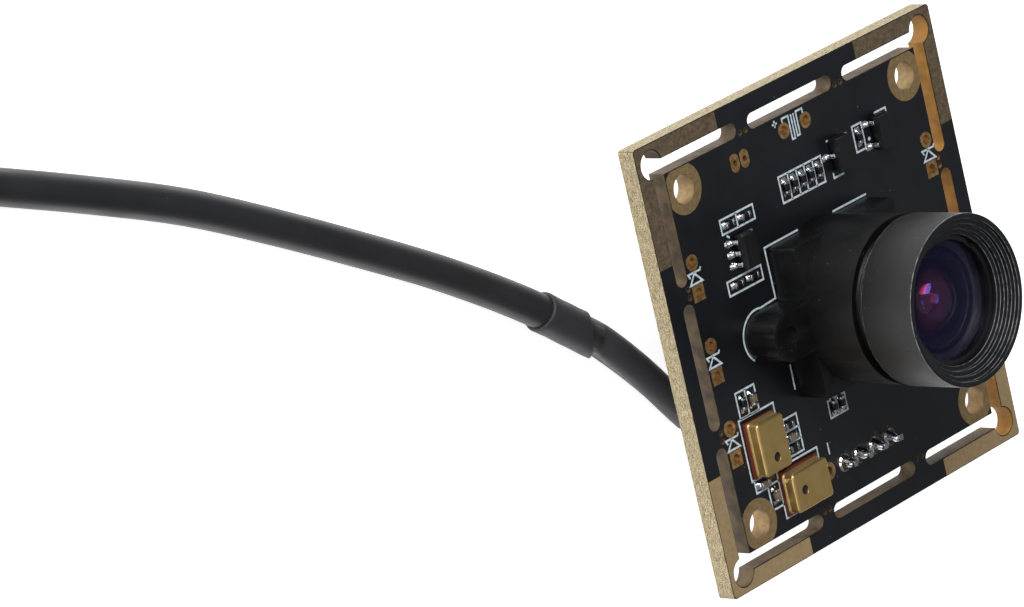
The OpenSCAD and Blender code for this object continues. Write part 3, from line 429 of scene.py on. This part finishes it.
mat_pvc = surface("satin_pvc_jacket", "#1a1a1d", 0.44, grain_mm=0.25, grain=0.006, tone=0.5, tone_mm=6,
                  rough_vary=0.05, specks=0.05, speck_mm=1.1, speck_code="#4c4c50")
mat_shrink = surface("shrunk_polyolefin", "#2b2b2e", 0.5, grain_mm=0.5, grain=0.02, rough_vary=0.06)
mat_wrap = surface("core_wrap_film", "#3a393c", 0.42, grain_mm=0.8, grain=0.03, rough_vary=0.08)


def make_cable():
    path = cable_path()
    cable = piece("cable", *sweep(path, CABLE_R, sides=16), mat_pvc, "cable_pvc",
                  replaces=("cable_jacket", "cable_coil", "cable_tail"))

    # the cores leave the jacket in a flat oval wrap with a slow twist
    c = [(*JACKET_END, SLEEVE_Z), (*JACKET_END, SLEEVE_Z), (*SLEEVE_B, SLEEVE_Z),
         *[(x, y, CABLE_R) for x, y in WRAP_BENDS], (*WRAP_END, CABLE_R), (*WRAP_END, CABLE_R)]
    line = spline(c, 12)
    n, b = sides_of(line, (0, 0, 1))
    s = np.linspace(0, 1, len(line))[:, None]
    a = np.arange(48) * 2 * np.pi / 48

    def dent(at, wide, deep):
        return deep * np.exp(-(((a - at) + np.pi) % (2 * np.pi) - np.pi) ** 2 / wide ** 2)

    # a fold runs along the wrap: flat above it, a second, thinner lobe below
    fold = dent(0.42 * np.pi, 0.34, 0.20) + dent(1.35 * np.pi, 0.25, 0.10)
    scale = 1 - fold[None] * np.clip(s * 8, 0, 1)
    u, v = WRAP_HIGH * np.cos(a)[None] * scale, WRAP_WIDE * np.sin(a)[None] * scale
    turn = np.radians(WRAP_TURN * s)
    u, v = u * np.cos(turn) - v * np.sin(turn), u * np.sin(turn) + v * np.cos(turn)
    rows = line[:, None] + u[:, :, None] * n[:, None] + v[:, :, None] * b[:, None]
    rows[:, :, 2] = np.maximum(rows[:, :, 2], 0.0)
    wrap = piece("core_wrap", *loops(rows, caps=(True, True)), mat_wrap, "black_wrap", replaces=("wire_wrap",))

    # heat-shrunk sleeve: necks down a little past the jacket's end and follows it
    axis = np.array([*SLEEVE_B, SLEEVE_Z]) - np.array([*SLEEVE_A, SLEEVE_Z])
    long = np.linalg.norm(axis)
    axis /= long
    marks = [(0.0, 1.46), (0.0, 1.60), (0.05, 1.66), (0.15, 1.69), (0.6, 1.68), (1.8, 1.65), (3.4, 1.68),
             (5.0, 1.66), (6.2, 1.69), (7.0, 1.69), (long - 0.15, 1.68), (long - 0.03, 1.66), (long, 1.6),
             (long, 1.42)]
    side = np.cross([0, 0, 1.0], axis)
    up = np.cross(axis, side)
    facing = (1 + np.cos(a - np.radians(55))) / 2            # cut aslant, shortest on its upper left side
    rings = []
    for d, r in marks:
        ripple = r * (1 - 0.006 * (1 + np.cos(3 * a + d)) / 2)
        along = d - SLEEVE_SLANT * facing * (d / long) ** 2
        rings.append(np.array([*SLEEVE_A, SLEEVE_Z]) + along[:, None] * axis
                     + (ripple * np.cos(a))[:, None] * side + (ripple * np.sin(a))[:, None] * up)
    sleeve = piece("sleeve", *loops(rings), mat_shrink, "heat_shrink", replaces=("cable_sleeve",))


make_cable()


# =====================================================================
# lens
# =====================================================================

mat_barrel = surface("bead_blasted_black_anodise", "#0b0b0c", 0.40, grain_mm=0.07, grain=0.02,
                     tone=0.4, tone_mm=1.6, rough_vary=0.05, specks=0.22, speck_mm=0.42, speck_code="#a5a7aa")
mat_hood = surface("hood_black_anodise", "#0e0e0f", 0.40, grain_mm=0.12, grain=0.006, specks=0.06, speck_mm=0.5,
                   speck_code="#6e7072")
mat_dark = surface("blackened_edge_ink", "#060607", 0.6)

HEAD_Z = 21.05
MOUTH_Z = 26.2
SHANK_Z = 15.9
HEAD_R = 7.0
HOOD_R, HOOD_STEP, HOOD_STEPS = 6.55, 0.42, 4
SEAT_Z = 21.77                                       # the front element's flat back
SECOND_Z = 20.6                                      # the second element's back


def make_barrel():
    shank = 6.0
    outside = fillet([(3.1, SHANK_Z), (shank - 0.3, SHANK_Z), (shank - 0.05, SHANK_Z + 0.25)], 0.05, 3)
    # the real helix: crest and root of a 0.5 mm thread all the way up to the head
    pitch, depth = 0.5, 0.28
    sides, rows = 96, []
    a = np.arange(sides) * 2 * np.pi / sides
    for z in np.arange(SHANK_Z + 0.25, HEAD_Z + 0.001, pitch / 8):
        phase = (z / pitch - a / (2 * np.pi)) % 1
        r = shank - 0.02 - depth * np.clip(np.abs(2 * phase - 1) * 1.25 - 0.12, 0, 1)
        rows.append(np.stack([r * np.cos(a), r * np.sin(a), np.full(sides, z)], 1))
    thread = loops(rows)
    bottom = turned(outside, sides)
    head = [(shank - 0.4, HEAD_Z), (HEAD_R, HEAD_Z), (HEAD_R, MOUTH_Z), (HOOD_R, MOUTH_Z)]
    steps = []
    for k in range(HOOD_STEPS):
        r = HOOD_R - HOOD_STEP * k
        z = MOUTH_Z - HOOD_STEP * (k + 1)
        steps += [(r, z), (r - HOOD_STEP, z)] if k < HOOD_STEPS - 1 else [(r, z), (r, SEAT_Z)]
    outer = turned(fillet(head + steps, 0.07, 4), 160)
    return piece("barrel", *join([outer, thread, bottom]), mat_barrel, "black_anodised", body="lens",
                 replaces=("lens_barrel",))


barrel = make_barrel()
# painted highlight: the slanted edge faces of the head get a pale grey colour in place of the light they catch
mat_barrel_edge_highlight = surface("painted_highlight_anodise_edge", "#7b7c80", 0.4, tone=0.5, tone_mm=0.5, tone_to="#2c2c2d")
barrel.data.materials.append(mat_hood)
barrel.data.materials.append(mat_barrel_edge_highlight)
for poly in barrel.data.polygons:
    r = math.hypot(poly.center.x, poly.center.y)
    if r < (HOOD_R + 0.01) * MM and poly.center.z > 21.7 * MM:
        poly.material_index = 1
    if poly.center.z > (HEAD_Z - 0.01) * MM and 0.05 < abs(poly.normal.z) < 0.95 and r > 5.2 * MM:
        poly.material_index = 2
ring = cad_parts["front_retaining_ring"]
paint(ring, mat_hood)

mat_front_glass = glass("violet_coated_front_glass", "#f3f0ff", 1.6, tint="#8f7bff")
mat_inner_glass = glass("magenta_coated_second_glass", "#ffe9ee", 1.6, tint="#ff2d5e")
# black edge ink, tinted violet as a painted reflection of the coating
mat_violet_painted_ink = surface("black_edge_ink_painted_violet", "#120f24", 0.5)


def two_surfaces(obj, second, inked):
    """Gives the second material to the faces whose (radius, height) in millimetres are inked."""
    obj.data.materials.append(second)
    for poly in obj.data.polygons:
        r, z = math.hypot(poly.center.x, poly.center.y) / MM, poly.center.z / MM
        if inked(r, z):
            poly.material_index = 1


def make_front_element():
    r, z0, held = 5.25, SEAT_Z, 4.84
    sag = 30 - math.sqrt(30 * 30 - held * held)
    top = [(x, z0 + 2.4 + sag - (30 - math.sqrt(900 - x * x))) for x in np.linspace(0.001, r, 20)]
    hollow = 4.6
    deep = hollow - math.sqrt(hollow ** 2 - 3.8 ** 2)
    under = [(x, z0 + deep - (hollow - math.sqrt(hollow ** 2 - x * x))) for x in np.linspace(3.8, 0.001, 28)]
    profile = (top + [(r, z0 + 0.001), (r, z0), (3.801, z0)] + under)[::-1]
    obj = piece("front_glass", *turned(profile, 128), mat_front_glass, "coated_glass", body="lens",
                replaces=("front_element",))
    # the flat back ring and rim take the black ink with the painted violet reflection
    two_surfaces(obj, mat_violet_painted_ink, lambda r, z: z < z0 + 0.01 and r > 3.79 or r > 5.2 and z < z0 + 2.3)


make_front_element()


def make_second_element():
    z0, rim, r, dome = SECOND_Z, SEAT_Z - SECOND_Z, 4.15, 3.4
    sag = 5 - math.sqrt(25 - dome * dome)
    top = [(x, z0 + rim + sag - (5 - math.sqrt(25 - x * x))) for x in np.linspace(0.001, dome, 24)]
    profile = (top + [(dome + 0.001, z0 + rim), (r, z0 + rim), (r, z0), (3.0, z0), (0.001, z0)])[::-1]
    obj = piece("second_glass", *turned(profile, 96), mat_inner_glass, "coated_glass", body="lens",
                replaces=("second_element",))
    two_surfaces(obj, mat_dark, lambda r, z: r > 3.41 or z < z0 + 0.01 and r > 2.99)


make_second_element()

for name in ("front_spacer", "rear_spacer", "aperture_stop"):
    paint(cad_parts[name], mat_dark)
mat_clear = glass("clear_glass", "#f2f7f8", 1.6)
for name in ("crown_element", "flint_element"):
    paint(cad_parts[name], mat_clear)
paint(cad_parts["rear_element"], mat_clear)
paint(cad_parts["sensor_glass"], mat_clear)
paint(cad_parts["infrared_filter"], glass("infrared_cut_filter", "#d5f0ee", 1.5))
paint(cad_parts["image_sensor"], surface("sensor_package", "#1c1c20", 0.3))


# =====================================================================
# holder, board and small parts
# =====================================================================

def crisp(name, mat, width=0.04, segments=2, angle=35, edge_highlight=None):
    """Keeps a CAD piece, with its edges broken as a mould or tool leaves them, and a painted highlight on the
    broken edges if asked.
    """
    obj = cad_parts[name]
    paint(obj, mat)
    if edge_highlight:
        obj.data.materials.append(edge_highlight)
    weld = obj.modifiers.new("weld", "WELD")
    weld.merge_threshold = 1e-7
    if width:
        bevel = obj.modifiers.new("edge", "BEVEL")
        bevel.width = width * MM
        bevel.segments = segments
        bevel.limit_method = "ANGLE"
        bevel.angle_limit = math.radians(angle)
        bevel.miter_outer = "MITER_SHARP"
        if edge_highlight:
            # painted highlight: the bevel faces take the pale edge material
            bevel.material = len(obj.data.materials) - 1
    obj.data.polygons.foreach_set("use_smooth", [True] * len(obj.data.polygons))
    even = obj.modifiers.new("even", "WEIGHTED_NORMAL")
    even.keep_sharp = False
    even.weight = 50
    return obj


mat_holder = surface("moulded_black_lcp", "#070708", 0.38, grain_mm=0.2, grain=0.008, tone=0.3, tone_mm=2.5,
                     rough_vary=0.05, specks=0.24, speck_mm=0.5, speck_code="#9ea0a2", specular=0.4)
# painted highlight for the holder's broken edges
mat_holder_edge_highlight = surface("painted_highlight_moulding_edge", "#8a8b8e", 0.4, tone=0.5, tone_mm=0.6, tone_to="#303031")
crisp("lens_holder", mat_holder, 0.035, 2, edge_highlight=mat_holder_edge_highlight)

mat_board = board_laminate()
paint(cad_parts["circuit_board"], mat_board)
paint(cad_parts["corner_pads"], frame_pad_gold())
mat_ring = surface("annular_ring_gold", "#a48a62", 0.42, metal=0.6, grain_mm=0.15, grain=0.004, tone=0.2,
                   tone_mm=0.4, tone_to="#8f7752")
paint(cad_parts["mount_hole_rings"], mat_ring)
mat_pad = surface("solder_pad_gold", "#c9a473", 0.30, metal=0.8, grain_mm=0.2, grain=0.010, tone=0.3,
                  tone_mm=0.35, tone_to="#9b7849")
paint(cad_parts["light_pads"], mat_pad)
paint(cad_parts["header_pads"], mat_pad)

mat_epoxy = surface("moulded_epoxy", "#0b0b0d", 0.42, grain_mm=0.08, grain=0.004)
mat_tin = surface("reflowed_tin", "#d5d6d8", 0.22, metal=1.0, grain_mm=0.12, grain=0.01, tone=0.2, tone_mm=0.2,
                  tone_to="#9a9a9c")
mat_glaze = surface("resistor_glaze", "#0b0b0d", 0.25)
mat_ceramic = surface("fired_ceramic", "#6b5a48", 0.45, tone=0.2, tone_mm=0.5)
crisp("resistor_bodies", mat_glaze, 0.03)
crisp("capacitor_bodies", mat_ceramic, 0.05)
crisp("chip_end_caps", mat_tin, 0.06)
crisp("small_chip_bodies", mat_epoxy, 0.03)
crisp("small_chip_leads", mat_tin, 0.03)
crisp("control_chip", mat_epoxy, 0.04)
crisp("control_chip_pads", mat_tin, 0.02)
crisp("memory_chip", mat_epoxy, 0.04)
crisp("memory_chip_leads", mat_tin, 0.03)
crisp("crystal", surface("plated_steel_lid", "#bdbab4", 0.28, metal=1.0), 0.03)
crisp("power_inductor", surface("ferrite_resin", "#3a3735", 0.6, grain_mm=0.1, grain=0.01), 0.05)
crisp("microphone_boards", surface("dark_red_laminate", "#5a2218", 0.35), 0.02)
crisp("header_pins", mat_tin, 0.05)
mat_nylon = surface("natural_nylon", "#dcd6c6", 0.45, grain_mm=0.3, grain=0.004)
crisp("header_shroud", mat_nylon, 0.08)
crisp("plug_housing", mat_nylon, 0.06)
crisp("crimp_contacts", mat_tin, 0.03)
crisp("holder_screws", surface("nickel_screw", "#a8a8ab", 0.25, metal=1.0), 0.03)
crisp("coil_strap", surface("woven_hook_strap", "#141414", 0.85, grain_mm=0.3, grain=0.05, sheen=0.3),
      0.08)
crisp("usb_grip", surface("moulded_pvc_grip", "#17171a", 0.45, grain_mm=0.2, grain=0.008), 0.4, 4)
crisp("usb_shell", surface("nickel_plated_steel", "#c2c2c6", 0.2, metal=1.0, grain_mm=2, grain=0.01),
      0.1)
crisp("usb_tongue", surface("white_insulator", "#e2e2dd", 0.5), 0.08)
crisp("usb_contacts", mat_pad, 0.03)


def rounded_loop(w, l, r, n=64):
    """n points round a rounded rectangle, as many on each corner."""
    k = n // 4
    out = []
    for q in range(4):
        cx, cy = ((w / 2 - r), (l / 2 - r))
        cx, cy = (cx if q in (0, 3) else -cx), (cy if q in (0, 1) else -cy)
        for t in np.linspace(0, 1, k):
            a = math.pi / 2 * (q + t)
            out.append((cx + r * math.cos(a), cy + r * math.sin(a)))
    return np.array(out)


def make_mic_cans():
    w, l, z0 = 3.76 - 0.46, 4.72 - 0.22, BOARD_TOP + 0.32
    top, r, port = 1.08, 0.2, 0.39
    n = 64
    a = np.pi / 2 * (np.arange(n) // (n // 4) + np.tile(np.linspace(0, 1, n // 4), 4))

    def hole(grow):
        return np.stack([(port + grow) * np.cos(a), -1.03 + (port + grow) * np.sin(a)], 1)

    def oval(out):
        return rounded_loop(w + 2 * out, l + 2 * out, max(0.32 + out, 0.02), n)

    rows = [np.column_stack([hole(g), np.full(n, z)])
            for z, g in ((top - 0.15, 0.0), (top - 0.02, 0.0), (top - 0.004, 0.004), (top, 0.02), (top, 0.035))]
    rows.append(np.column_stack([oval(-r - 0.03), np.full(n, top)]))
    for t in np.linspace(0, 1, 7):                       # drawn edge round the top
        rows.append(np.column_stack([oval(-r * (1 - math.sin(t * math.pi / 2))),
                                     np.full(n, top - r * (1 - math.cos(t * math.pi / 2)))]))
    for z, out in ((top - r - 0.03, 0.0), (0.24, 0.0), (0.2, 0.0), (0.15, 0.03), (0.14, 0.06), (0.13, 0.09),
                   (0.10, 0.105), (0.02, 0.105), (0.0, 0.1)):
        rows.append(np.column_stack([oval(out), np.full(n, z)]))
    v, f = loops(rows)
    # painted shade: a black disc just under each sound hole stands for the shaded inside of the can
    port_shade_disc = turned([(0.42, top - 0.145), (0.001, top - 0.145)], 32, 0, -1.03)
    cans, ports = [], []
    for x, y, angle in ((-11.9, -8.3, 0), (-8.55, -13.05, -90)):
        c, s = math.cos(math.radians(angle)), math.sin(math.radians(angle))
        for store, (vv, ff) in ((cans, (v, f)), (ports, port_shade_disc)):
            p = vv.copy()
            store.append((np.column_stack([x + c * p[:, 0] - s * p[:, 1], y + s * p[:, 0] + c * p[:, 1],
                                           z0 + p[:, 2]]), ff))
    mat = surface("satin_gold_can", "#d9b877", 0.34, metal=0.9, grain_mm=0.35, grain=0.004, tone=0.1,
                  tone_mm=1.0, tone_to="#cfae6e")
    piece("microphone_can", *join(cans), mat, "mic_gold", replaces=("microphone_cans",))
    # the discs take the black ink material as painted shade
    piece("sound_holes_painted_shade", *join(ports), mat_dark, "mic_gold")


make_mic_cans()


def make_joints():
    """Hand-soldered cones: fillet flared onto the pad, a blob that hides the tail, each a little different."""
    parts = []
    n = 40
    a = np.arange(n) * 2 * np.pi / n
    for k, x in enumerate(PIN_X):
        lean = rng.normal(0, 0.05, 2)
        lump = rng.uniform(0, 2 * np.pi, 3)
        size = 1 + rng.normal(0, 0.04)
        rows = []
        for z, r in ((0.0, 0.73), (0.03, 0.71), (0.1, 0.64), (0.22, 0.58), (0.4, 0.53), (0.6, 0.47),
                     (0.8, 0.38), (0.95, 0.30), (1.05, 0.24), (1.12, 0.15), (1.14, 0.01)):
            wob = 1 + 0.05 * np.cos(2 * a + lump[0]) * min(1, z * 3) + 0.03 * np.cos(3 * a + lump[1])
            rr = min(r * size, 0.73) * wob
            rr = np.minimum(rr, 0.73)
            rows.append(np.stack([x + lean[0] * z + rr * np.cos(a), ROW_Y + lean[1] * z + rr * np.sin(a),
                                  np.full(n, BOARD_TOP + 0.05 + z)], 1))
        parts.append(loops(rows, caps=(False, True)))
    mat = surface("bright_hand_solder", "#d9dade", 0.12, metal=1.0, grain_mm=0.35, grain=0.02)
    piece("solder_cone", *join(parts), mat, "solder", replaces=("solder_joints",))


make_joints()


def pillow(cx, cy, angle, x0, x1, w, tall, low=0.03, n=7):
    """A solder fillet: high at x0, running out to x1, rounded off at both sides."""
    u, v = np.meshgrid(np.linspace(0, 1, n), np.linspace(-1, 1, n), indexing="ij")
    side = np.clip(1 - np.abs(v) ** 4, 0, 1)
    high = (low + (tall - low) * (1 - u) ** 1.7) * side * np.clip((1 - u) * 8, 0, 1)
    wide = w / 2 * (1 - 0.25 * u ** 3)
    x, y = x0 + (x1 - x0) * u, v * wide
    c, s = math.cos(angle), math.sin(angle)
    verts = np.stack([cx + c * x - s * y, cy + s * x + c * y, BOARD_TOP + 0.01 + high], 2).reshape(-1, 3)
    faces = [[i * n + j, (i + 1) * n + j, (i + 1) * n + j + 1, i * n + j + 1]
             for i in range(n - 1) for j in range(n - 1)]
    return verts, faces


FRONT_CHIPS = ([(-10.1, 9.85, 0, 0), (-8.1, 9.85, 0, 0), (-10.6, 4.9, 0, 0), (-8.65, 4.9, 0, 0)]
               + [(-2.65 + 1.07 * i, 10.35, 1, 0) for i in range(5)]
               + [(7.2, 11.3, 1, 0), (-13.1, -4.35, 1, 0), (-12.0, -4.35, 1, 1), (-8.5, -7.95, 0, 0),
                  (-8.5, -8.95, 0, 1), (-8.5, -9.9, 0, 0), (-12.85, -11.35, 0, 1), (-11.75, -12.75, 1, 1),
                  (-2.75, -8.45, 1, 0), (-1.75, -8.45, 1, 0)])
FRONT_SOTS = [(-9.25, 7.35, (-1, 0, 1), (-1, 0, 1)), (4.15, 11.0, (0,), (-1, 1)), (9.6, 11.05, (-1, 1), (0,))]


def make_fillets():
    parts = []
    for x, y, quarter, kind in FRONT_CHIPS:
        for side in (0, 1):
            angle = math.pi * (quarter / 2 + side) + rng.normal(0, 0.03)
            parts.append(pillow(x, y, angle, 0.42, 0.80 + rng.normal(0, 0.03), 0.62 + rng.normal(0, 0.03),
                                0.3 + 0.12 * kind))
    for x, y, left, right in FRONT_SOTS:
        for side, rows in ((math.pi, left), (0.0, right)):
            for k in rows:
                yy = y + 0.95 * k
                parts.append(pillow(x, yy, side, 1.18, 1.78 + rng.normal(0, 0.03), 0.62, 0.26))
    mat = surface("reflowed_solder", "#dcdde0", 0.16, metal=1.0, grain_mm=0.2, grain=0.03)
    piece("solder_fillets", *join(parts), mat, "tin")


make_fillets()


# =====================================================================
# printed ink on the board
# =====================================================================

INK_Z = BOARD_TOP + 0.012


def stroke(points, width, z=INK_Z, closed=False):
    """A flat line of ink with square mitred corners."""
    p = np.asarray(points, float)
    if closed:
        p = np.concatenate([p, p[:2]])
    d = np.diff(p, axis=0)
    d /= np.linalg.norm(d, axis=1, keepdims=True)
    left = np.stack([-d[:, 1], d[:, 0]], 1)
    offs = [left[0]]
    for i in range(1, len(left)):
        m = left[i - 1] + left[i]
        m /= max(np.dot(m, left[i]), 0.2)
        offs.append(m)
    offs.append(left[-1])
    offs = np.array(offs) * width / 2
    if closed:
        p, offs = p[1:-1], offs[1:-1]
    a, b = p + offs, p - offs
    n = len(p)
    v = np.concatenate([np.column_stack([a, np.full(n, z)]), np.column_stack([b, np.full(n, z)])])
    f = [[i, n + i, n + (i + 1) % n, (i + 1) % n] for i in range(n if closed else n - 1)]
    return v, f


def frame_of(x0, y0, x1, y1):
    return [(x0, y0), (x1, y0), (x1, y1), (x0, y1)]


def arc(cx, cy, r, a0, a1, n=24):
    a = np.radians(np.linspace(a0, a1, n))
    return np.stack([cx + r * np.cos(a), cy + r * np.sin(a)], 1).tolist()


def diode(x, y):
    """Diode mark between a round pad above and a square pad below."""
    top, low = y + 0.46, y - 0.45
    return [([(x - 0.55, top - 0.35), (x - 0.75, top), (x + 0.72, top), (x + 0.86, top + 0.22)], False),
            ([(x, top - 0.08), (x - 0.70, low), (x + 0.78, low)], True)]


def make_ink():
    thin, lines = 0.17, []
    boxes = [(-11.04, 10.42, -6.9, 9.22), (-11.75, 5.44, -7.5, 4.25), (-3.25, 11.4, 2.2, 9.2),
             (6.65, 12.35, 7.85, 10.15), (-13.7, -3.33, -11.35, -5.5), (-8.95, -7.36, -7.25, -10.5),
             (-3.3, -7.85, -1.1, -9.3), (-12.35, -11.75, -10.85, -13.85)]
    for b in boxes:
        lines.append((frame_of(*b), True))
    lines.append(([(-9.05, 10.42), (-9.05, 9.22)], False))
    for x in (-2.1, -1.0, 0.02, 1.12):
        lines.append(([(x, 11.4), (x, 9.2)], False))
    lines.append(([(-12.55, -3.33), (-12.55, -5.5)], False))
    for y in (-8.42, -9.42):
        lines.append(([(-8.95, y), (-7.25, y)], False))
    lines.append(([(-2.2, -7.85), (-2.2, -9.3)], False))
    lines += [(frame_of(-14.0, -5.56, -9.62, -10.76), True), (frame_of(-10.97, -10.86, -5.75, -15.05), True),
              ([(-13.75, -10.76), (-13.75, -11.85), (-12.4, -11.85)], False),
              ([(-4.4, -11.0), (-4.4, -12.0)], False)]
    # round the lens holder: broken corners and the ear's arc
    ear = arc(-9.16, 0.05, 2.2, 75, 230, 30)
    lines += [([(-2.28, 6.62), (-6.64, 6.58), (-6.63, 2.3)] + ear, False), ([(2.19, 6.6), (6.62, 6.6)], False),
              ([(-6.67, -3.38), (-6.72, -5.54)], False)]
    # brackets of the three-legged packages
    lines += [([(3.25, 12.25), (4.6, 12.25)], False), ([(3.3, 9.55), (3.3, 9.1), (4.6, 9.1)], False),
              ([(9.65, 12.55), (11.15, 12.55), (11.15, 12.1)], False),
              ([(-10.6, 9.0), (-10.3, 8.75)], False)]
    for x in (-15.2, 15.2):
        for k in (-1, 0, 1):
            lines += diode(x, k * 7.05 + 0.03)
    # heater-like mark between the two top pads, and its plus
    lines += [([(-1.35, 15.35), (-1.35, 15.75), (-0.55, 15.75), (-0.55, 13.75), (-0.2, 13.75),
                (-0.2, 15.75)], False),
              ([(0.12, 15.75), (0.12, 13.85), (0.45, 13.85), (0.45, 15.78), (1.25, 15.78),
                (1.25, 15.4)], False),
              ([(-2.6, 15.6), (-2.0, 15.6)], False), ([(-2.3, 15.3), (-2.3, 15.9)], False)]
    parts = [stroke(p, thin, closed=c) for p, c in lines]
    parts.append(turned([(0.001, INK_Z), (0.16, INK_Z)], 20, 8.45, 10.75))
    mat = surface("screen_printed_ink", "#cfdbe0", 0.55, tone=0.1, tone_mm=0.3, tone_to="#9fb0b8")
    piece("screen_print", *join(parts), mat, "solder_mask", smooth=False)


make_ink()


MID_SLOT, BRIDGE, INNER_HALF = 10.7, 1.5, 16.1


def make_perforations():
    """Copper lips round the perforations of the bridges."""
    parts = []
    for q in range(4):
        c, s = [(1, 0), (0, 1), (-1, 0), (0, -1)][q]
        for side in (-1, 1):
            for b in (-1, 1):
                x = side * (MID_SLOT / 2 + BRIDGE / 2) + b * 0.35
                y = INNER_HALF + 0.17
                px, py = c * x - s * y, s * x + c * y
                lip = [(0.20, BOARD_TOP + 0.004), (0.24, BOARD_TOP + 0.012), (0.27, BOARD_TOP + 0.004)]
                parts.append(turned(lip, 20, px, py))
    mat = surface("bare_copper_lip", "#4d3a22", 0.5, metal=0.3)
    piece("perforation_lip", *join(parts), mat, "gold_plate")


make_perforations()


def make_wires():
    gap = 0.52
    along = np.array(WRAP_BENDS[-1]) - np.array(WRAP_END)
    along /= np.linalg.norm(along)
    side = np.array([-along[1], along[0]])
    facts = (("red", "#a01412", 1, 1), ("white", "#d9d9d4", 1, -1), ("green", "#14682c", -1, 1),
             ("black", "#101011", -1, -1))
    for x, (colour, code, across, up) in zip(PIN_X, facts):
        b = np.array(WRAP_END) + across * gap * side
        c = b - 1.6 * along
        z = 0.5 + (1 + up) * gap
        end_z = CABLE_R + up * gap
        path = spline([(x, ROW_Y, 4.4), (x, ROW_Y, 4.4), (x, ROW_Y, z), (x, ROW_Y + 2, z), (*c, end_z),
                       (*b, end_z), (*b, end_z)], 8)
        mat = surface("insulation_" + colour, code, 0.38)
        piece("lead_" + colour, *sweep(path, 0.5, start=(1, 0, 0), sides=16), mat, colour + "_wire",
              replaces=("wire_" + colour,))


make_wires()


# =====================================================================
# floor, light and render settings
# =====================================================================

def make_stage():
    me = bpy.data.meshes.new("floor")
    me.from_pydata([(-6, -6, 0), (6, -6, 0), (6, 6, 0), (-6, 6, 0)], [], [(0, 1, 2, 3)])
    floor = bpy.data.objects.new("floor", me)
    bpy.context.collection.objects.link(floor)
    mat, tree, bsdf = blank("white_sweep_paper")
    bsdf.inputs["Base Color"].default_value = (0.86, 0.86, 0.86, 1)
    bsdf.inputs["Roughness"].default_value = 0.9
    bsdf.inputs["Specular IOR Level"].default_value = 0.1
    bsdf.inputs["Emission Color"].default_value = (1, 1, 1, 1)
    bsdf.inputs["Emission Strength"].default_value = 0.8
    me.materials.append(mat)


def area(name, toward, distance, size, power, colour=(1, 1, 1), size_y=None):
    """A softbox in a given direction from the lens, facing it. Distances in millimetres."""
    data = bpy.data.lights.new(name, "AREA")
    data.shape = "RECTANGLE"
    data.size = size * MM
    data.size_y = (size_y or size) * MM
    data.energy = power
    data.color = colour
    obj = bpy.data.objects.new(name, data)
    bpy.context.collection.objects.link(obj)
    d = np.array(toward, float)
    d /= np.linalg.norm(d)
    at = np.array([0, 0, 12.0]) + d * distance
    obj.matrix_world = Matrix.Translation((at * MM).tolist()) @ Matrix(
        [list(r) for r in frame_from(d)]).to_4x4()
    return obj


def frame_from(z):
    """Rows of a rotation whose third column is z."""
    x = np.cross([0.339, 0.941, -0.019], z)
    x /= np.linalg.norm(x)
    y = np.cross(z, x)
    return np.stack([x, y, z], 1)


make_stage()
world = bpy.data.worlds.new("world")
bpy.context.scene.world = world
world.use_nodes = True
world.node_tree.nodes["Background"].inputs["Color"].default_value = (0.92, 0.95, 1.0, 1)
world.node_tree.nodes["Background"].inputs["Strength"].default_value = 0.22
area("key", (-0.45, 0.85, 0.75), 700, 420, 4.5)
area("left_fill", (-1.0, 0.0, 0.35), 700, 420, 1.2)
area("window", (0.02, 0.05, 1.0), 700, 200, 0.6, (1, 1, 1), 330)

scene = bpy.context.scene
scene.render.engine = "CYCLES"
scene.cycles.samples = 96
scene.cycles.use_denoising = True
scene.cycles.max_bounces = 10
scene.cycles.transmission_bounces = 10
scene.cycles.glossy_bounces = 6
scene.render.resolution_x, scene.render.resolution_y = 1024, 607
scene.view_settings.view_transform = "Standard"
scene.view_settings.look = "None"
scene.view_settings.exposure = 0.0
